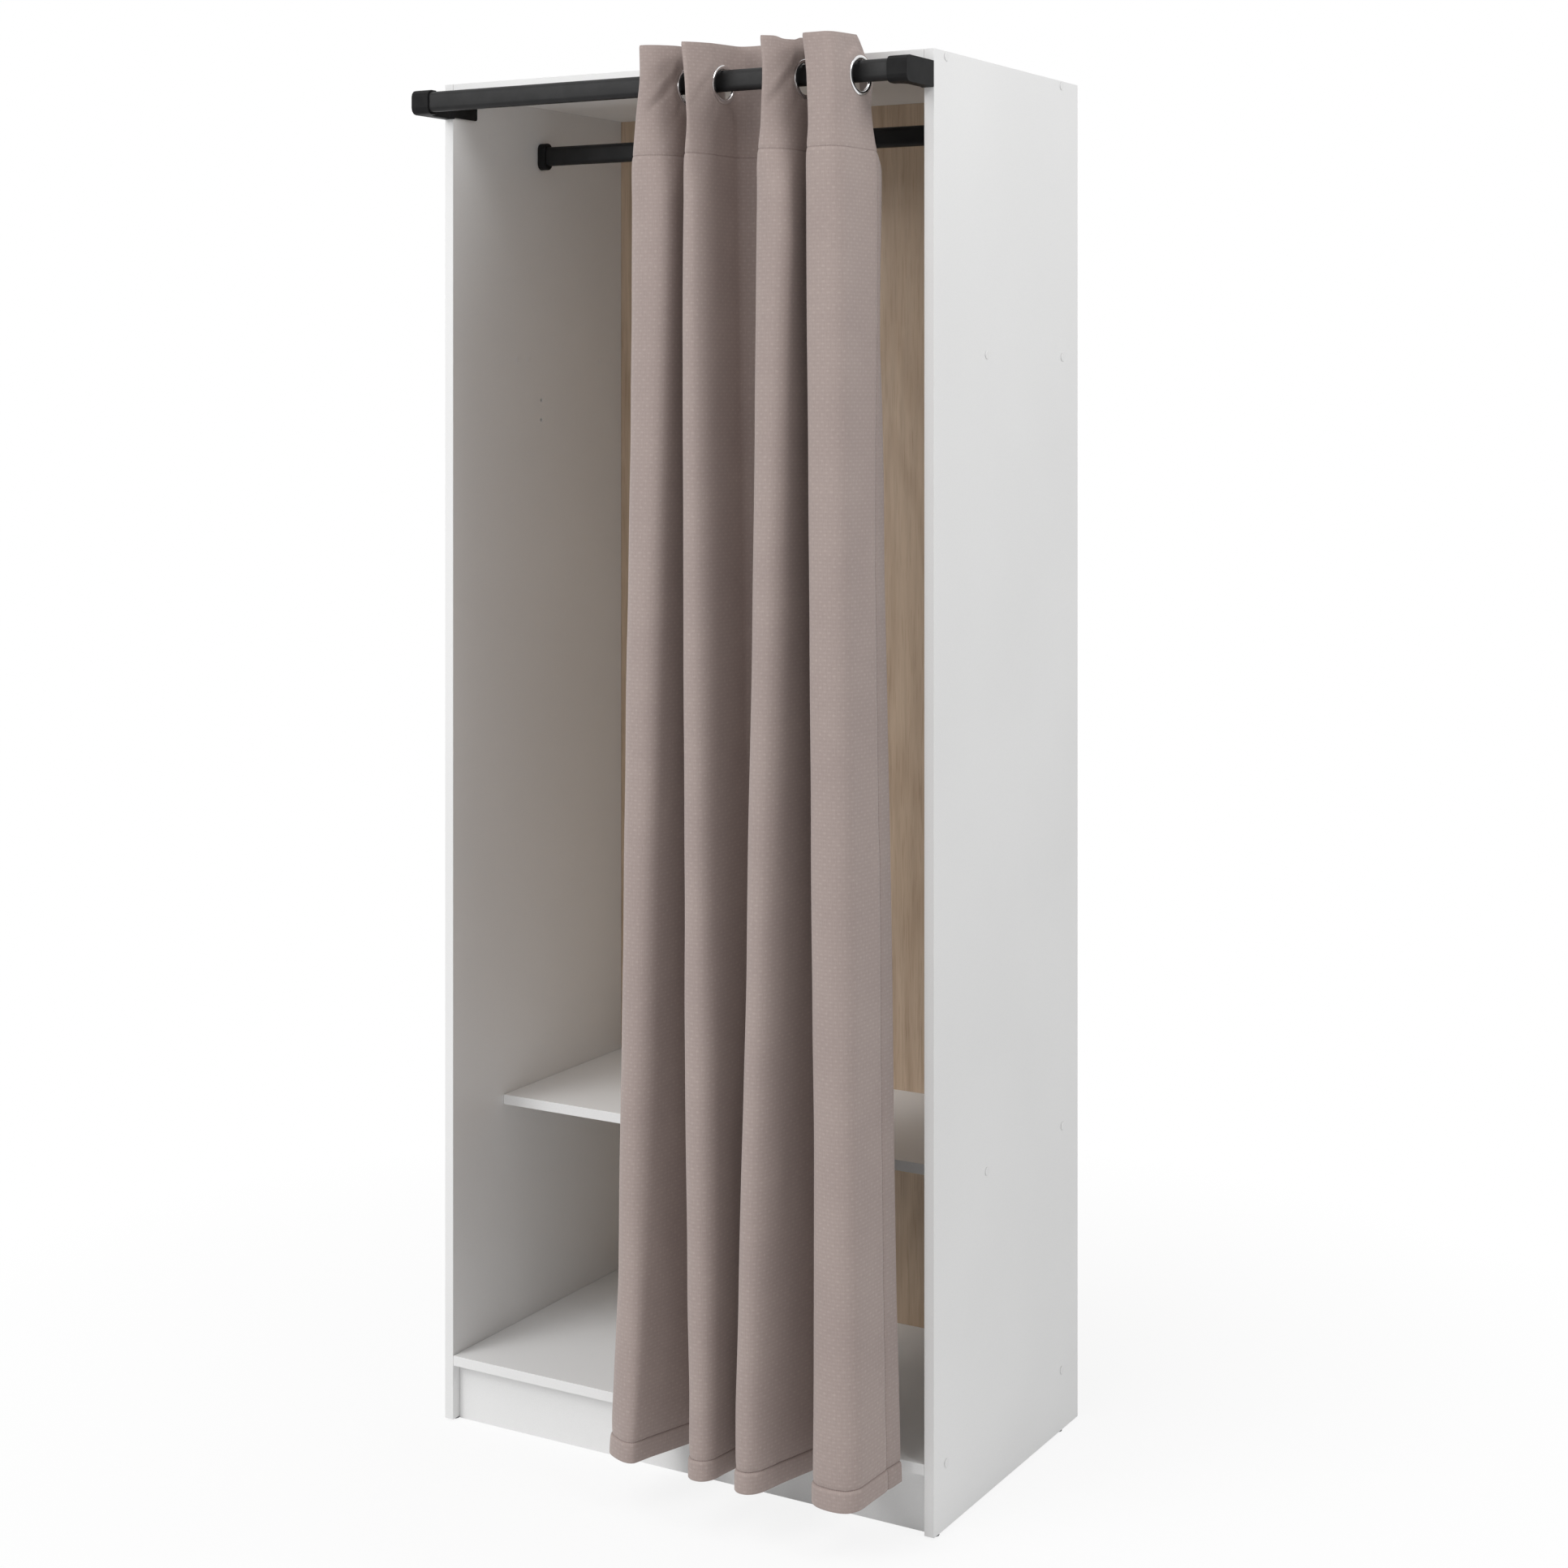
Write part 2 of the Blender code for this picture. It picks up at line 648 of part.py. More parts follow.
def make_bracket(name, side, material, parent):
    """Moulded bracket: the plan, trimmed to the elevation, with a blind rail bore."""
    top = CURTAIN_RAIL_Z + RAIL_HEIGHT / 2 + COLLAR_WALL
    bottom = CURTAIN_RAIL_Z - RAIL_HEIGHT / 2 - COLLAR_WALL
    shape = bmesh.new()
    plan = [(side * x, y) for x, y in bracket_plan()]
    levels = (bottom - CUT_OVERRUN, top + CUT_OVERRUN)
    add_prism(shape, *[[(x, y, z) for x, y in plan] for z in levels])
    obj = sub_part(name, shape, material, parent)
    trim = bmesh.new()
    inner_x = side * (CARCASS_WIDTH / 2 - COLLAR_LENGTH) - side * CUT_OVERRUN
    outer_x = side * CARCASS_WIDTH / 2 + side * CUT_OVERRUN
    elevation = bracket_elevation()
    add_prism(trim, *[[(x, y, z) for y, z in elevation] for x in (inner_x, outer_x)])
    cut_with(obj, trim, operation="INTERSECT")
    add_pegs(obj, side, bracket_pegs(), PLATE_THICKNESS / 2)
    bore = bmesh.new()
    outline = oval_outline(RAIL_DEPTH + 2 * FIT_GAP, RAIL_HEIGHT + 2 * FIT_GAP)
    floor_x = side * (CARCASS_WIDTH / 2 - COLLAR_WALL)
    add_oval_bar(bore, outline, inner_x, floor_x, -CURTAIN_RAIL_REACH, CURTAIN_RAIL_Z)
    cut_with(obj, bore)


def eyelet_places():
    """Sideways place of each eyelet, worked back from the right collar."""
    x = CARCASS_WIDTH / 2 - COLLAR_LENGTH - COLLAR_TO_EYELET
    places = [x]
    for gap in reversed(EYELET_GAPS):
        x -= gap
        places.insert(0, x)
    return places


def faces_right(index):
    """Even eyelets are on left flanks and odd ones on right flanks, from 0."""
    return 1 if index % 2 else -1


def eyelet_frame(index, x):
    """Local +Z is the outward normal of the cloth at the eyelet."""
    side = faces_right(index)
    turn = Matrix.Rotation(-side * EYELET_TURN, 4, "Z")
    return Matrix.Translation((x, -CURTAIN_RAIL_REACH, EYELET_Z)) @ turn @ outward(side)


def make_eyelet(name, index, x, material, parent, origin):
    """Flange in front, sleeve through the cloth and washer clenched behind it."""
    face = CLOTH_THICKNESS / 2 + FIT_GAP
    front = face + EYELET_FLANGE_THICKNESS
    back = -face - WASHER_THICKNESS
    sleeve = EYELET_BORE_RADIUS + EYELET_SLEEVE_WALL
    profile = [
        (back, EYELET_BORE_RADIUS),
        (back, EYELET_RIM_RADIUS),
        (-face, EYELET_RIM_RADIUS),
        (-face, sleeve),
        (face, sleeve),
        (face, EYELET_RIM_RADIUS),
        (front, EYELET_RIM_RADIUS - EYELET_BEVEL),
        (front, EYELET_BORE_RADIUS + EYELET_BEVEL),
        (front - EYELET_BEVEL / 2, EYELET_BORE_RADIUS),
    ]
    shape = bmesh.new()
    add_turned_ring(shape, profile, eyelet_frame(index, x), EYELET_SIDES)
    sub_part(name, shape, material, parent, origin)


def cloth_levels():
    """Rows down the cloth: height, and share of the hem's lean."""
    flat = EYELET_Z - FLAT_HEADING_DROP
    shoulder = EYELET_Z - SHOULDER_DROP
    middle = (shoulder + HEM_HEIGHT) / 2
    return ((CLOTH_TOP_Z, 0.0), (flat, 0.0), (shoulder, 0.0), (middle, 0.5), (HEM_HEIGHT, 1.0))


def blend_between(start, end, share):
    return start + (end - start) * share


def flank_x(index, x, z, hem_share):
    """Sideways place of the front and the back of one flank of cloth."""
    side = faces_right(index)
    lean = math.tan(EYELET_TURN)
    crest = index // 2
    front = x - side * lean * HEADING_CREST_REACHES[crest]
    back = x + side * lean * (CURTAIN_RAIL_REACH - valley_gap(index, 0.0))
    shoulder_share = 0.0
    if z < EYELET_Z - FLAT_HEADING_DROP:
        shoulder_share = SHOULDER_SHARES[index]
    share = blend_between(shoulder_share, 1.0, hem_share)
    front = blend_between(front, x + HEM_FRONT_LEANS[index], share)
    back = blend_between(back, x + HEM_BACK_LEANS[index], share)
    return front, back


def valley_gap(index, hem_share):
    """Gap from the carcass's front to the valley behind one flank of cloth."""
    if index in (0, EYELET_COUNT - 1):
        return FLAP_GAP
    valley = (index - 1) // 2
    return blend_between(HEADING_VALLEY_GAPS[valley], HEM_VALLEY_GAPS[valley], hem_share)


def flap_corners(index, x, z, hem_share):
    """Bend and free edge of the cloth beyond the first or the last eyelet."""
    end = 0 if index == 0 else 1
    start = HEADING_FLAP_LEANS[end]
    if z < EYELET_Z - FLAT_HEADING_DROP:
        start = SHOULDER_FLAP_LEANS[end]
    edge = x + blend_between(start, HEM_FLAP_LEANS[end], hem_share)
    bend_y = -CURTAIN_RAIL_REACH + EYELET_RIM_RADIUS + FLAP_STRAIGHT + FOLD_ROUNDING
    front, back = flank_x(index, x, z, hem_share)
    crest_y = -CURTAIN_RAIL_REACH - crest_reach(index, hem_share)
    share = (bend_y - crest_y) / (-FLAP_GAP - crest_y)
    return Vector((blend_between(front, back, share), bend_y)), Vector((edge, -FLAP_GAP))


def crest_reach(index, hem_share):
    crest = index // 2
    return blend_between(HEADING_CREST_REACHES[crest], HEM_CREST_REACHES[crest], hem_share)


def flank_corners(index, places, z, hem_share):
    """Middle of the crest, its corner, the valley's corner and its middle."""
    side = faces_right(index)
    x = places[index]
    front, back = flank_x(index, x, z, hem_share)
    crest_y = -CURTAIN_RAIL_REACH - crest_reach(index, hem_share)
    partner = index - side
    crest_x = (front + flank_x(partner, places[partner], z, hem_share)[0]) / 2
    points = [Vector((crest_x + side * FIT_GAP, crest_y)), Vector((front, crest_y))]
    if index in (0, EYELET_COUNT - 1):
        return points + list(flap_corners(index, x, z, hem_share))
    neighbour = index + side
    valley_x = (back + flank_x(neighbour, places[neighbour], z, hem_share)[1]) / 2
    valley_y = -valley_gap(index, hem_share)
    return points + [Vector((back, valley_y)), Vector((valley_x - side * FIT_GAP, valley_y))]


def rounded_bend(before, corner, after):
    """Points of a smooth bend that stands in for a corner."""
    into = min(FOLD_ROUNDING, BEND_ROOM_SHARE * (corner - before).length)
    out = min(FOLD_ROUNDING, BEND_ROOM_SHARE * (after - corner).length)
    start = corner + (before - corner).normalized() * into
    end = corner + (after - corner).normalized() * out
    points = []
    for index in range(BEND_STEPS + 1):
        share = index / BEND_STEPS
        points.append(start.lerp(corner, share).lerp(corner.lerp(end, share), share))
    return points


def flank_line(corners):
    first, crest, valley, last = corners
    return [first, *rounded_bend(first, crest, valley), *rounded_bend(crest, valley, last), last]


def offset_line(points, distance):
    """Points moved sideways, square to the line through their neighbours."""
    moved = []
    for index, point in enumerate(points):
        before = points[max(index - 1, 0)]
        after = points[min(index + 1, len(points) - 1)]
        along = (after - before).normalized()
        moved.append(point + Vector((-along.y, along.x)) * distance)
    return moved


def add_cloth(shape, rows):
    """Close two skins, given row by row from the top, into one sheet of cloth."""
    grids = []
    for sign in (-1, 1):
        grid = []
        for z, line in rows:
            moved = offset_line(line, sign * CLOTH_THICKNESS / 2)
            grid.append([shape.verts.new((point.x, point.y, z)) for point in moved])
        grids.append(grid)
    count = len(grids[0][0])
    outlines = [front + back[::-1] for front, back in zip(*grids)]
    for first, second in zip(outlines, outlines[1:]):
        join_rings(shape, first, second)
    for front, back in ((grids[0][0], grids[1][0]), (grids[0][-1], grids[1][-1])):
        for index in range(count - 1):
            shape.faces.new((front[index], front[index + 1], back[index + 1], back[index]))


def make_curtain_fold(name, index, places, material, parent, origin):
    """Cloth from the middle of one crest past an eyelet to the middle of a valley."""
    shape = bmesh.new()
    rows = []
    for z, hem_share in cloth_levels():
        rows.append((z, flank_line(flank_corners(index, places, z, hem_share))))
    add_cloth(shape, rows)
    obj = sub_part(name, shape, material, parent, origin)
    hole = bmesh.new()
    radius = EYELET_BORE_RADIUS + EYELET_SLEEVE_WALL + FIT_GAP
    depth = CLOTH_THICKNESS + CUT_OVERRUN
    add_turned(hole, [(-depth, radius), (depth, radius)], eyelet_frame(index, places[index]), EYELET_SIDES)
    cut_with(obj, hole, origin)


def make_curtain(chrome, cloth, parent):
    """Each eyelet carries its own stretch of cloth along the rail."""
    places = eyelet_places()
    for index, x in enumerate(places):
        number = index + 1
        origin = (x, -CURTAIN_RAIL_REACH, EYELET_Z)
        runner = carrier(f"curtain_runner_{number}", origin, parent)
        make_eyelet(f"eyelet_{number}", index, x, chrome, runner, origin)
        make_curtain_fold(f"curtain_fold_{number}", index, places, cloth, runner, origin)


def build_wardrobe():
    clear_scene()
    carcass = carrier("carcass", (0.0, -OBJECT_MIDDLE_Y, GLIDE_HEIGHT))
    white = finish_material("white_melamine", (0.78, 0.78, 0.77), 0.45)
    wood = finish_material("oak_back", (0.36, 0.27, 0.19), 0.55)
    black = finish_material("black_lacquer", (0.035, 0.035, 0.036), 0.40)
    plastic = finish_material("black_plastic", (0.028, 0.028, 0.029), 0.50)
    chrome = finish_material("chrome", (0.75, 0.75, 0.76), 0.12, 1.0)
    cloth = finish_material("taupe_cloth", (0.36, 0.30, 0.275), 0.90)
    steel = finish_material("zinc_steel", (0.60, 0.60, 0.61), 0.35, 1.0)
    cover = finish_material("white_plastic", (0.74, 0.74, 0.73), 0.40)
    grey = finish_material("grey_plastic", (0.10, 0.10, 0.10), 0.55)

    make_carcass(white, wood, carcass)
    make_screws(steel, cover, carcass)
    make_floor_glides(grey, carcass)
    for side, name in ((-1, "left"), (1, "right")):
        make_rail_socket(f"{name}_rail_socket", side, plastic, carcass)
        make_bracket(f"{name}_curtain_bracket", side, plastic, carcass)
    make_clothes_rail(black, carcass)
    make_curtain_rail(black, carcass)
    make_curtain(chrome, cloth, carcass)


build_wardrobe()
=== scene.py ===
import math

import bpy
import numpy as np
from mathutils import Matrix, Vector, noise


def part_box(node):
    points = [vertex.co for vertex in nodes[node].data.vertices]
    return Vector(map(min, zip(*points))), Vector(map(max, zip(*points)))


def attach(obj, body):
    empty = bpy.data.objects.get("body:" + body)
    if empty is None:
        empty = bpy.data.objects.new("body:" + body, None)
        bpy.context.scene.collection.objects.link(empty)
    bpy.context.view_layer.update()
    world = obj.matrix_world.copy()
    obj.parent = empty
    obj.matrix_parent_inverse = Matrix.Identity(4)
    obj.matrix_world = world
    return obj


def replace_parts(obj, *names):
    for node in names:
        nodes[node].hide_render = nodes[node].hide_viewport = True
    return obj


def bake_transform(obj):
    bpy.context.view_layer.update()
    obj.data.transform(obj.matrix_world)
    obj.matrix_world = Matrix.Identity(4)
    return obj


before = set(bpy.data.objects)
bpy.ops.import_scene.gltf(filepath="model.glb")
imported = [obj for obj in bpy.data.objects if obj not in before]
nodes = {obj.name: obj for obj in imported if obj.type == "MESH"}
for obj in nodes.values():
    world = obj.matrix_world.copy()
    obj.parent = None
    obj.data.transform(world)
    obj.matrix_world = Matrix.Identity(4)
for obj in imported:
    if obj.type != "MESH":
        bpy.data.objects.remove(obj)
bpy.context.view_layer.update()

# The studio: a pale floor that fades to plain white away from the wardrobe, an even
# white sky, a broad high sun from the front, and two soft lamps, on the left and
# high on the right. The camera stands at the photograph's place, right of the front.
scene = bpy.context.scene
scene.view_settings.view_transform = "Standard"
camera = bpy.data.objects.new("camera", bpy.data.cameras.new("camera"))
scene.collection.objects.link(camera)
camera.location = (1.966, -3.26485, 1.5345)
camera.rotation_euler = (math.radians(90.0), 0.0, math.radians(30.0))
camera.data.sensor_width = 36.0
camera.data.lens = 59.22
camera.data.shift_y = -0.2470
scene.camera = camera


def put(tree, kind, joins=None, **settings):
    """Add one node, with its settings, and give its inputs a value or a link."""
    made = tree.nodes.new(kind)
    for name, value in settings.items():
        setattr(made, name, value)
    for name, value in (joins or {}).items():
        if isinstance(value, bpy.types.NodeSocket):
            tree.links.new(value, made.inputs[name])
        else:
            made.inputs[name].default_value = value
    return made


def count(tree, operation, *terms):
    """One step of arithmetic on values or sockets."""
    joins = dict(enumerate(terms))
    return put(tree, "ShaderNodeMath", joins, operation=operation).outputs[0]


def seen_directly(tree):
    """1 for rays that show the background itself, in the view or in metal."""
    rays = put(tree, "ShaderNodeLightPath").outputs
    shown = count(tree, "MAXIMUM", rays["Is Camera Ray"], rays["Is Glossy Ray"])
    return count(tree, "MAXIMUM", shown, rays["Is Transmission Ray"])


SKY_LEVEL = 0.495
world = bpy.data.worlds.new("studio")
world.use_nodes = True
scene.world = world
sky = world.node_tree
sky.nodes.clear()
lit = put(sky, "ShaderNodeBackground", {"Color": (1.0, 1.0, 1.0, 1.0), "Strength": SKY_LEVEL})
plain = put(sky, "ShaderNodeBackground", {"Color": (1.0, 1.0, 1.0, 1.0), "Strength": 1.0})
mixed = put(sky, "ShaderNodeMixShader", {0: seen_directly(sky), 1: lit.outputs[0], 2: plain.outputs[0]})
put(sky, "ShaderNodeOutputWorld", {"Surface": mixed.outputs[0]})

FLOOR_REACH = 14.0
floor_mesh = bpy.data.meshes.new("floor")
floor_corners = [(x * FLOOR_REACH, y * FLOOR_REACH, 0.0) for x, y in ((-1, -1), (1, -1), (1, 1), (-1, 1))]
floor_mesh.from_pydata(floor_corners, [], [(0, 1, 2, 3)])
floor = bpy.data.objects.new("floor", floor_mesh)
scene.collection.objects.link(floor)
floor_paint = bpy.data.materials.new("floor_paint")
floor_paint.use_nodes = True
tree = floor_paint.node_tree
tree.nodes.clear()
spot = put(tree, "ShaderNodeNewGeometry").outputs["Position"]
away = put(tree, "ShaderNodeVectorMath", {0: spot}, operation="LENGTH").outputs["Value"]
fade_joins = {"Value": away, "From Min": 0.45, "From Max": 1.6, "To Min": 0.85, "To Max": 1.0}
fade = put(tree, "ShaderNodeMapRange", fade_joins).outputs[0]
matt = put(tree, "ShaderNodeBsdfDiffuse", {"Color": (0.86, 0.86, 0.86, 1.0)}).outputs[0]
bright = put(tree, "ShaderNodeEmission", {"Color": (1.0, 1.0, 1.0, 1.0), "Strength": 1.0}).outputs[0]
share = count(tree, "MULTIPLY", fade, seen_directly(tree))
mixed = put(tree, "ShaderNodeMixShader", {0: share, 1: matt, 2: bright})
put(tree, "ShaderNodeOutputMaterial", {"Surface": mixed.outputs[0]})
floor_mesh.materials.append(floor_paint)


def soft_lamp(name, place, aim, size, power):
    """A round lamp at one place, aimed at another."""
    lamp = bpy.data.objects.new(name, bpy.data.lights.new(name, "AREA"))
    scene.collection.objects.link(lamp)
    lamp.location = place
    lamp.rotation_euler = (Vector(aim) - Vector(place)).to_track_quat("-Z", "Y").to_euler()
    lamp.data.shape = "DISK"
    lamp.data.size = size
    lamp.data.energy = power
    lamp.visible_camera = False


soft_lamp("right_lamp", (2.0, -0.6, 3.2), (0.4, 0.1, 1.6), 1.2, 21.0)
soft_lamp("left_lamp", (-1.7, -3.5, 2.9), (0.0, 0.0, 0.7), 1.8, 46.0)
high_sun = bpy.data.objects.new("high_sun", bpy.data.lights.new("high_sun", "SUN"))
scene.collection.objects.link(high_sun)
high_sun.rotation_euler = Vector((0.25, 0.6, -1.05)).to_track_quat("-Z", "Y").to_euler()
high_sun.data.angle = math.radians(35.0)
high_sun.data.energy = 0.82


# The carcass boards: chipboard faced with white melamine, its edges banded in
# the same white. Dowels and screws through the sides hold the cross boards. The
# facing has a fine pearl grain, and the edges are eased by the width of a scrape.
EASED_EDGE = 0.0005
CARCASS_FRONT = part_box("left_side")[0].y
CARCASS_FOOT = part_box("left_side")[0].z
SIDE_OUTER_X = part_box("right_side")[1].x
SIDE_INNER_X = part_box("right_side")[0].x


def new_finish(name, roughness, metallic=0.0):
    """A material, its nodes and its shader."""
    finish = bpy.data.materials.new(name)
    finish.use_nodes = True
    shader = finish.node_tree.nodes["Principled BSDF"]
    shader.inputs["Roughness"].default_value = roughness
    shader.inputs["Metallic"].default_value = metallic
    return finish, finish.node_tree, shader


def place_of(tree, stretch=(1.0, 1.0, 1.0)):
    """The point on the object in metres, stretched by a scale per axis."""
    spot = put(tree, "ShaderNodeTexCoord").outputs["Object"]
    return put(tree, "ShaderNodeMapping", {"Vector": spot, "Scale": stretch}).outputs[0]


def mottle(tree, place, scale, detail=2.0, roughness=0.5):
    """Noise with the given number of spots to the metre."""
    joins = {"Vector": place, "Scale": scale, "Detail": detail, "Roughness": roughness}
    return put(tree, "ShaderNodeTexNoise", joins).outputs["Fac"]


def tone(tree, amount, stops):
    """A colour read from a ramp of (place, colour) stops."""
    ramp = put(tree, "ShaderNodeValToRGB", {"Fac": amount})
    elements = ramp.color_ramp.elements
    while len(elements) < len(stops):
        elements.new(0.5)
    for element, (position, colour) in zip(elements, stops):
        element.position = position
        element.color = (*colour, 1.0)
    return ramp.outputs["Color"]


def spread(tree, amount, low, high, to_low, to_high):
    """Map one range of values onto another, and stop at its ends."""
    joins = {"Value": amount, "From Min": low, "From Max": high, "To Min": to_low, "To Max": to_high}
    return put(tree, "ShaderNodeMapRange", joins).outputs[0]


def paint(tree, shader, colour, amount, low, high):
    """Give the shader its colour, and a roughness that varies with the amount."""
    tree.links.new(colour, shader.inputs["Base Color"])
    tree.links.new(spread(tree, amount, 0.3, 0.7, low, high), shader.inputs["Roughness"])


def raise_by(tree, shader, height, depth, strength=1.0, under=None):
    """Bump the surface by a height from 0 to 1 that is depth metres deep."""
    joins = {"Height": height, "Distance": depth, "Strength": strength}
    if under:
        joins["Normal"] = under
    bump = put(tree, "ShaderNodeBump", joins).outputs[0]
    tree.links.new(bump, shader.inputs["Normal"])
    return bump


def tint(tree, below, above, amount=1.0, way="MULTIPLY"):
    """One colour laid over another."""
    joins = {"Fac": amount, "Color1": below, "Color2": above}
    return put(tree, "ShaderNodeMixRGB", joins, blend_type=way).outputs[0]


def shaded(dark, light, low=0.35, high=0.65):
    """Two stops for a ramp."""
    return ((low, dark), (high, light))


white_board, tree, shader = new_finish("white_melamine", 0.42)
place = place_of(tree)
cloud = mottle(tree, place, 2.6, 3.0)
pearl = mottle(tree, place, 850.0, 2.0)
ground = tone(tree, cloud, shaded((0.835, 0.835, 0.832), (0.865, 0.865, 0.862)))
grain = tone(tree, pearl, shaded((0.965, 0.965, 0.965), (1.0, 1.0, 1.0), 0.3, 0.6))
paint(tree, shader, tint(tree, ground, grain), pearl, 0.36, 0.48)
orange_peel = mottle(tree, place, 240.0, 2.0)
under = raise_by(tree, shader, orange_peel, 0.00006, 0.5)
raise_by(tree, shader, pearl, 0.00003, 0.5, under)


def dress(node, finish):
    """Give a carried-over CAD node its finish in place of the plain one."""
    mesh = nodes[node].data
    mesh.materials.clear()
    mesh.materials.append(finish)
    return nodes[node]


def ease_edges(piece, width, steps=2, from_angle=60.0):
    """Round the sharp edges of a carried-over node."""
    weld = piece.modifiers.new("weld", "WELD")
    weld.merge_threshold = 0.00001
    eased = piece.modifiers.new("eased_edges", "BEVEL")
    eased.width = width
    eased.segments = steps
    eased.limit_method = "ANGLE"
    eased.angle_limit = math.radians(from_angle)
    eased.use_clamp_overlap = False
    eased.harden_normals = True


for name in ("left_side", "right_side", "top_panel", "bottom_panel", "shelf", "plinth"):
    ease_edges(dress(name, white_board), EASED_EDGE)


# The back panel: a thin board with a printed oak face towards the inside and raw
# brown hardboard behind. It slides into a groove in the sides and both panels.
back_board, tree, shader = new_finish("oak_back", 0.5)
place = place_of(tree, (1.0, 1.0, 0.06))
wander = mottle(tree, place_of(tree, (1.0, 1.0, 0.16)), 5.0, 2.0)
rings = count(tree, "SINE", count(tree, "MULTIPLY", wander, 95.0))
streaks = mottle(tree, place, 95.0, 4.0, 0.6)
pores = mottle(tree, place_of(tree, (1.0, 1.0, 0.03)), 620.0, 2.0)
patches = mottle(tree, place_of(tree, (1.0, 1.0, 0.3)), 6.0, 2.0)
oak = tone(tree, patches, shaded((0.525, 0.392, 0.275), (0.63, 0.485, 0.358), 0.3, 0.7))
ring_stops = shaded((0.90, 0.88, 0.86), (1.0, 1.0, 1.0), 0.0, 0.6)
ring_tone = tone(tree, spread(tree, rings, -1.0, 1.0, 0.0, 1.0), ring_stops)
streak_tone = tone(tree, streaks, shaded((0.87, 0.85, 0.83), (1.04, 1.04, 1.04), 0.3, 0.65))
pore_tone = tone(tree, pores, shaded((0.86, 0.83, 0.80), (1.0, 1.0, 1.0), 0.32, 0.46))
oak = tint(tree, tint(tree, tint(tree, oak, ring_tone), streak_tone), pore_tone)
fibres = mottle(tree, place_of(tree), 420.0, 4.0, 0.7)
raw = tone(tree, fibres, shaded((0.16, 0.095, 0.052), (0.27, 0.17, 0.10), 0.3, 0.7))
facing = put(tree, "ShaderNodeNewGeometry").outputs["Normal"]
rearward = put(tree, "ShaderNodeSeparateXYZ", {0: facing}).outputs["Y"]
behind = count(tree, "GREATER_THAN", rearward, 0.5)
paint(tree, shader, tint(tree, oak, raw, behind, "MIX"), streaks, 0.44, 0.58)
raise_by(tree, shader, pores, 0.00008, 0.6)
dress("back_panel", back_board)


# Connecting screws of zinc-plated steel, driven through the sides into the ends
# of the panels and the shelf. Round white plastic covers are pressed into their
# heads, also into the holes of the spare shelf place.
COVER_RADIUS = 0.006
COVER_RISE = 0.0012
COVER_EDGE = 0.0005
COVER_GAP = 0.0003
STEM_RADIUS = 0.0016
STEM_DEPTH = 0.002
PLUG_RADIUS = 0.0048
PLUG_RISE = 0.0009
SPARE_SHELF_Z = CARCASS_FOOT + 1.5905
SPARE_SCREW_YS = (CARCASS_FRONT + 0.1642, CARCASS_FRONT + 0.4233)
SPARE_DOWEL_YS = (CARCASS_FRONT + 0.1942, CARCASS_FRONT + 0.3933)
TOWARDS_RIGHT = Matrix.Rotation(math.pi / 2, 4, "Y")
TOWARDS_LEFT = Matrix.Rotation(-math.pi / 2, 4, "Y")

zinc, tree, shader = new_finish("zinc_steel", 0.35, 1.0)
flakes = mottle(tree, place_of(tree), 900.0, 3.0)
plated = tone(tree, flakes, shaded((0.50, 0.50, 0.52), (0.66, 0.66, 0.66)))
paint(tree, shader, plated, flakes, 0.28, 0.45)
raise_by(tree, shader, flakes, 0.00003, 0.5)

white_cover, tree, shader = new_finish("white_plastic", 0.38)
grain = mottle(tree, place_of(tree), 1400.0, 2.0)
moulded = tone(tree, grain, shaded((0.80, 0.80, 0.795), (0.84, 0.84, 0.836)))
paint(tree, shader, moulded, grain, 0.32, 0.44)
raise_by(tree, shader, grain, 0.00003, 0.5)


def new_piece(name, points, faces, finish, sharp_from=35.0):
    """A mesh object, smooth but for the edges that are sharper than the angle."""
    mesh = bpy.data.meshes.new(name)
    mesh.from_pydata(points, [], faces)
    mesh.shade_smooth()
    mesh.set_sharp_from_angle(angle=math.radians(sharp_from))
    mesh.materials.append(finish)
    piece = bpy.data.objects.new(name, mesh)
    scene.collection.objects.link(piece)
    return piece


def wall_between(first, second, sides):
    """Faces between two rings of corners that start at the given numbers."""
    steps = [(i, (i + 1) % sides) for i in range(sides)]
    return [(first + i, first + j, second + j, second + i) for i, j in steps]


def skin_of(rings, sides, ring):
    """Faces over a row of rings: closed on itself, or with a face on either end."""
    last = (rings - 1) * sides
    faces = []
    for index in range(rings - 1):
        faces += wall_between(index * sides, (index + 1) * sides, sides)
    if ring:
        return faces + wall_between(last, 0, sides)
    return [*faces, tuple(reversed(range(sides))), tuple(range(last, last + sides))]


def turned_piece(name, profile, place, finish, sides=40, ring=False):
    """Turn (along, radius) points round local Z, with flat ends or as a ring."""
    points = []
    for along, radius in profile:
        for step in range(sides):
            angle = 2 * math.pi * step / sides
            points.append(place @ Vector((radius * math.cos(angle), radius * math.sin(angle), along)))
    return new_piece(name, points, skin_of(len(profile), sides, ring), finish)


def rounded_rim(along, radius, bevel, steps=4):
    """Profile points over a rim with a quarter round of the given bevel."""
    made = []
    for step in range(steps + 1):
        angle = math.pi / 2 * step / steps
        made.append((along - bevel + bevel * math.sin(angle), radius - bevel + bevel * math.cos(angle)))
    return made


def cover_profile(radius, rise):
    """A pressed cover: stem, underside, rounded rim and a face that dishes a little."""
    stem = [(-STEM_DEPTH, STEM_RADIUS), (COVER_GAP, STEM_RADIUS), (COVER_GAP, radius)]
    face = [(rise - 0.00012, radius * 0.55), (rise - 0.0002, radius * 0.2)]
    return stem + rounded_rim(rise, radius, COVER_EDGE) + face


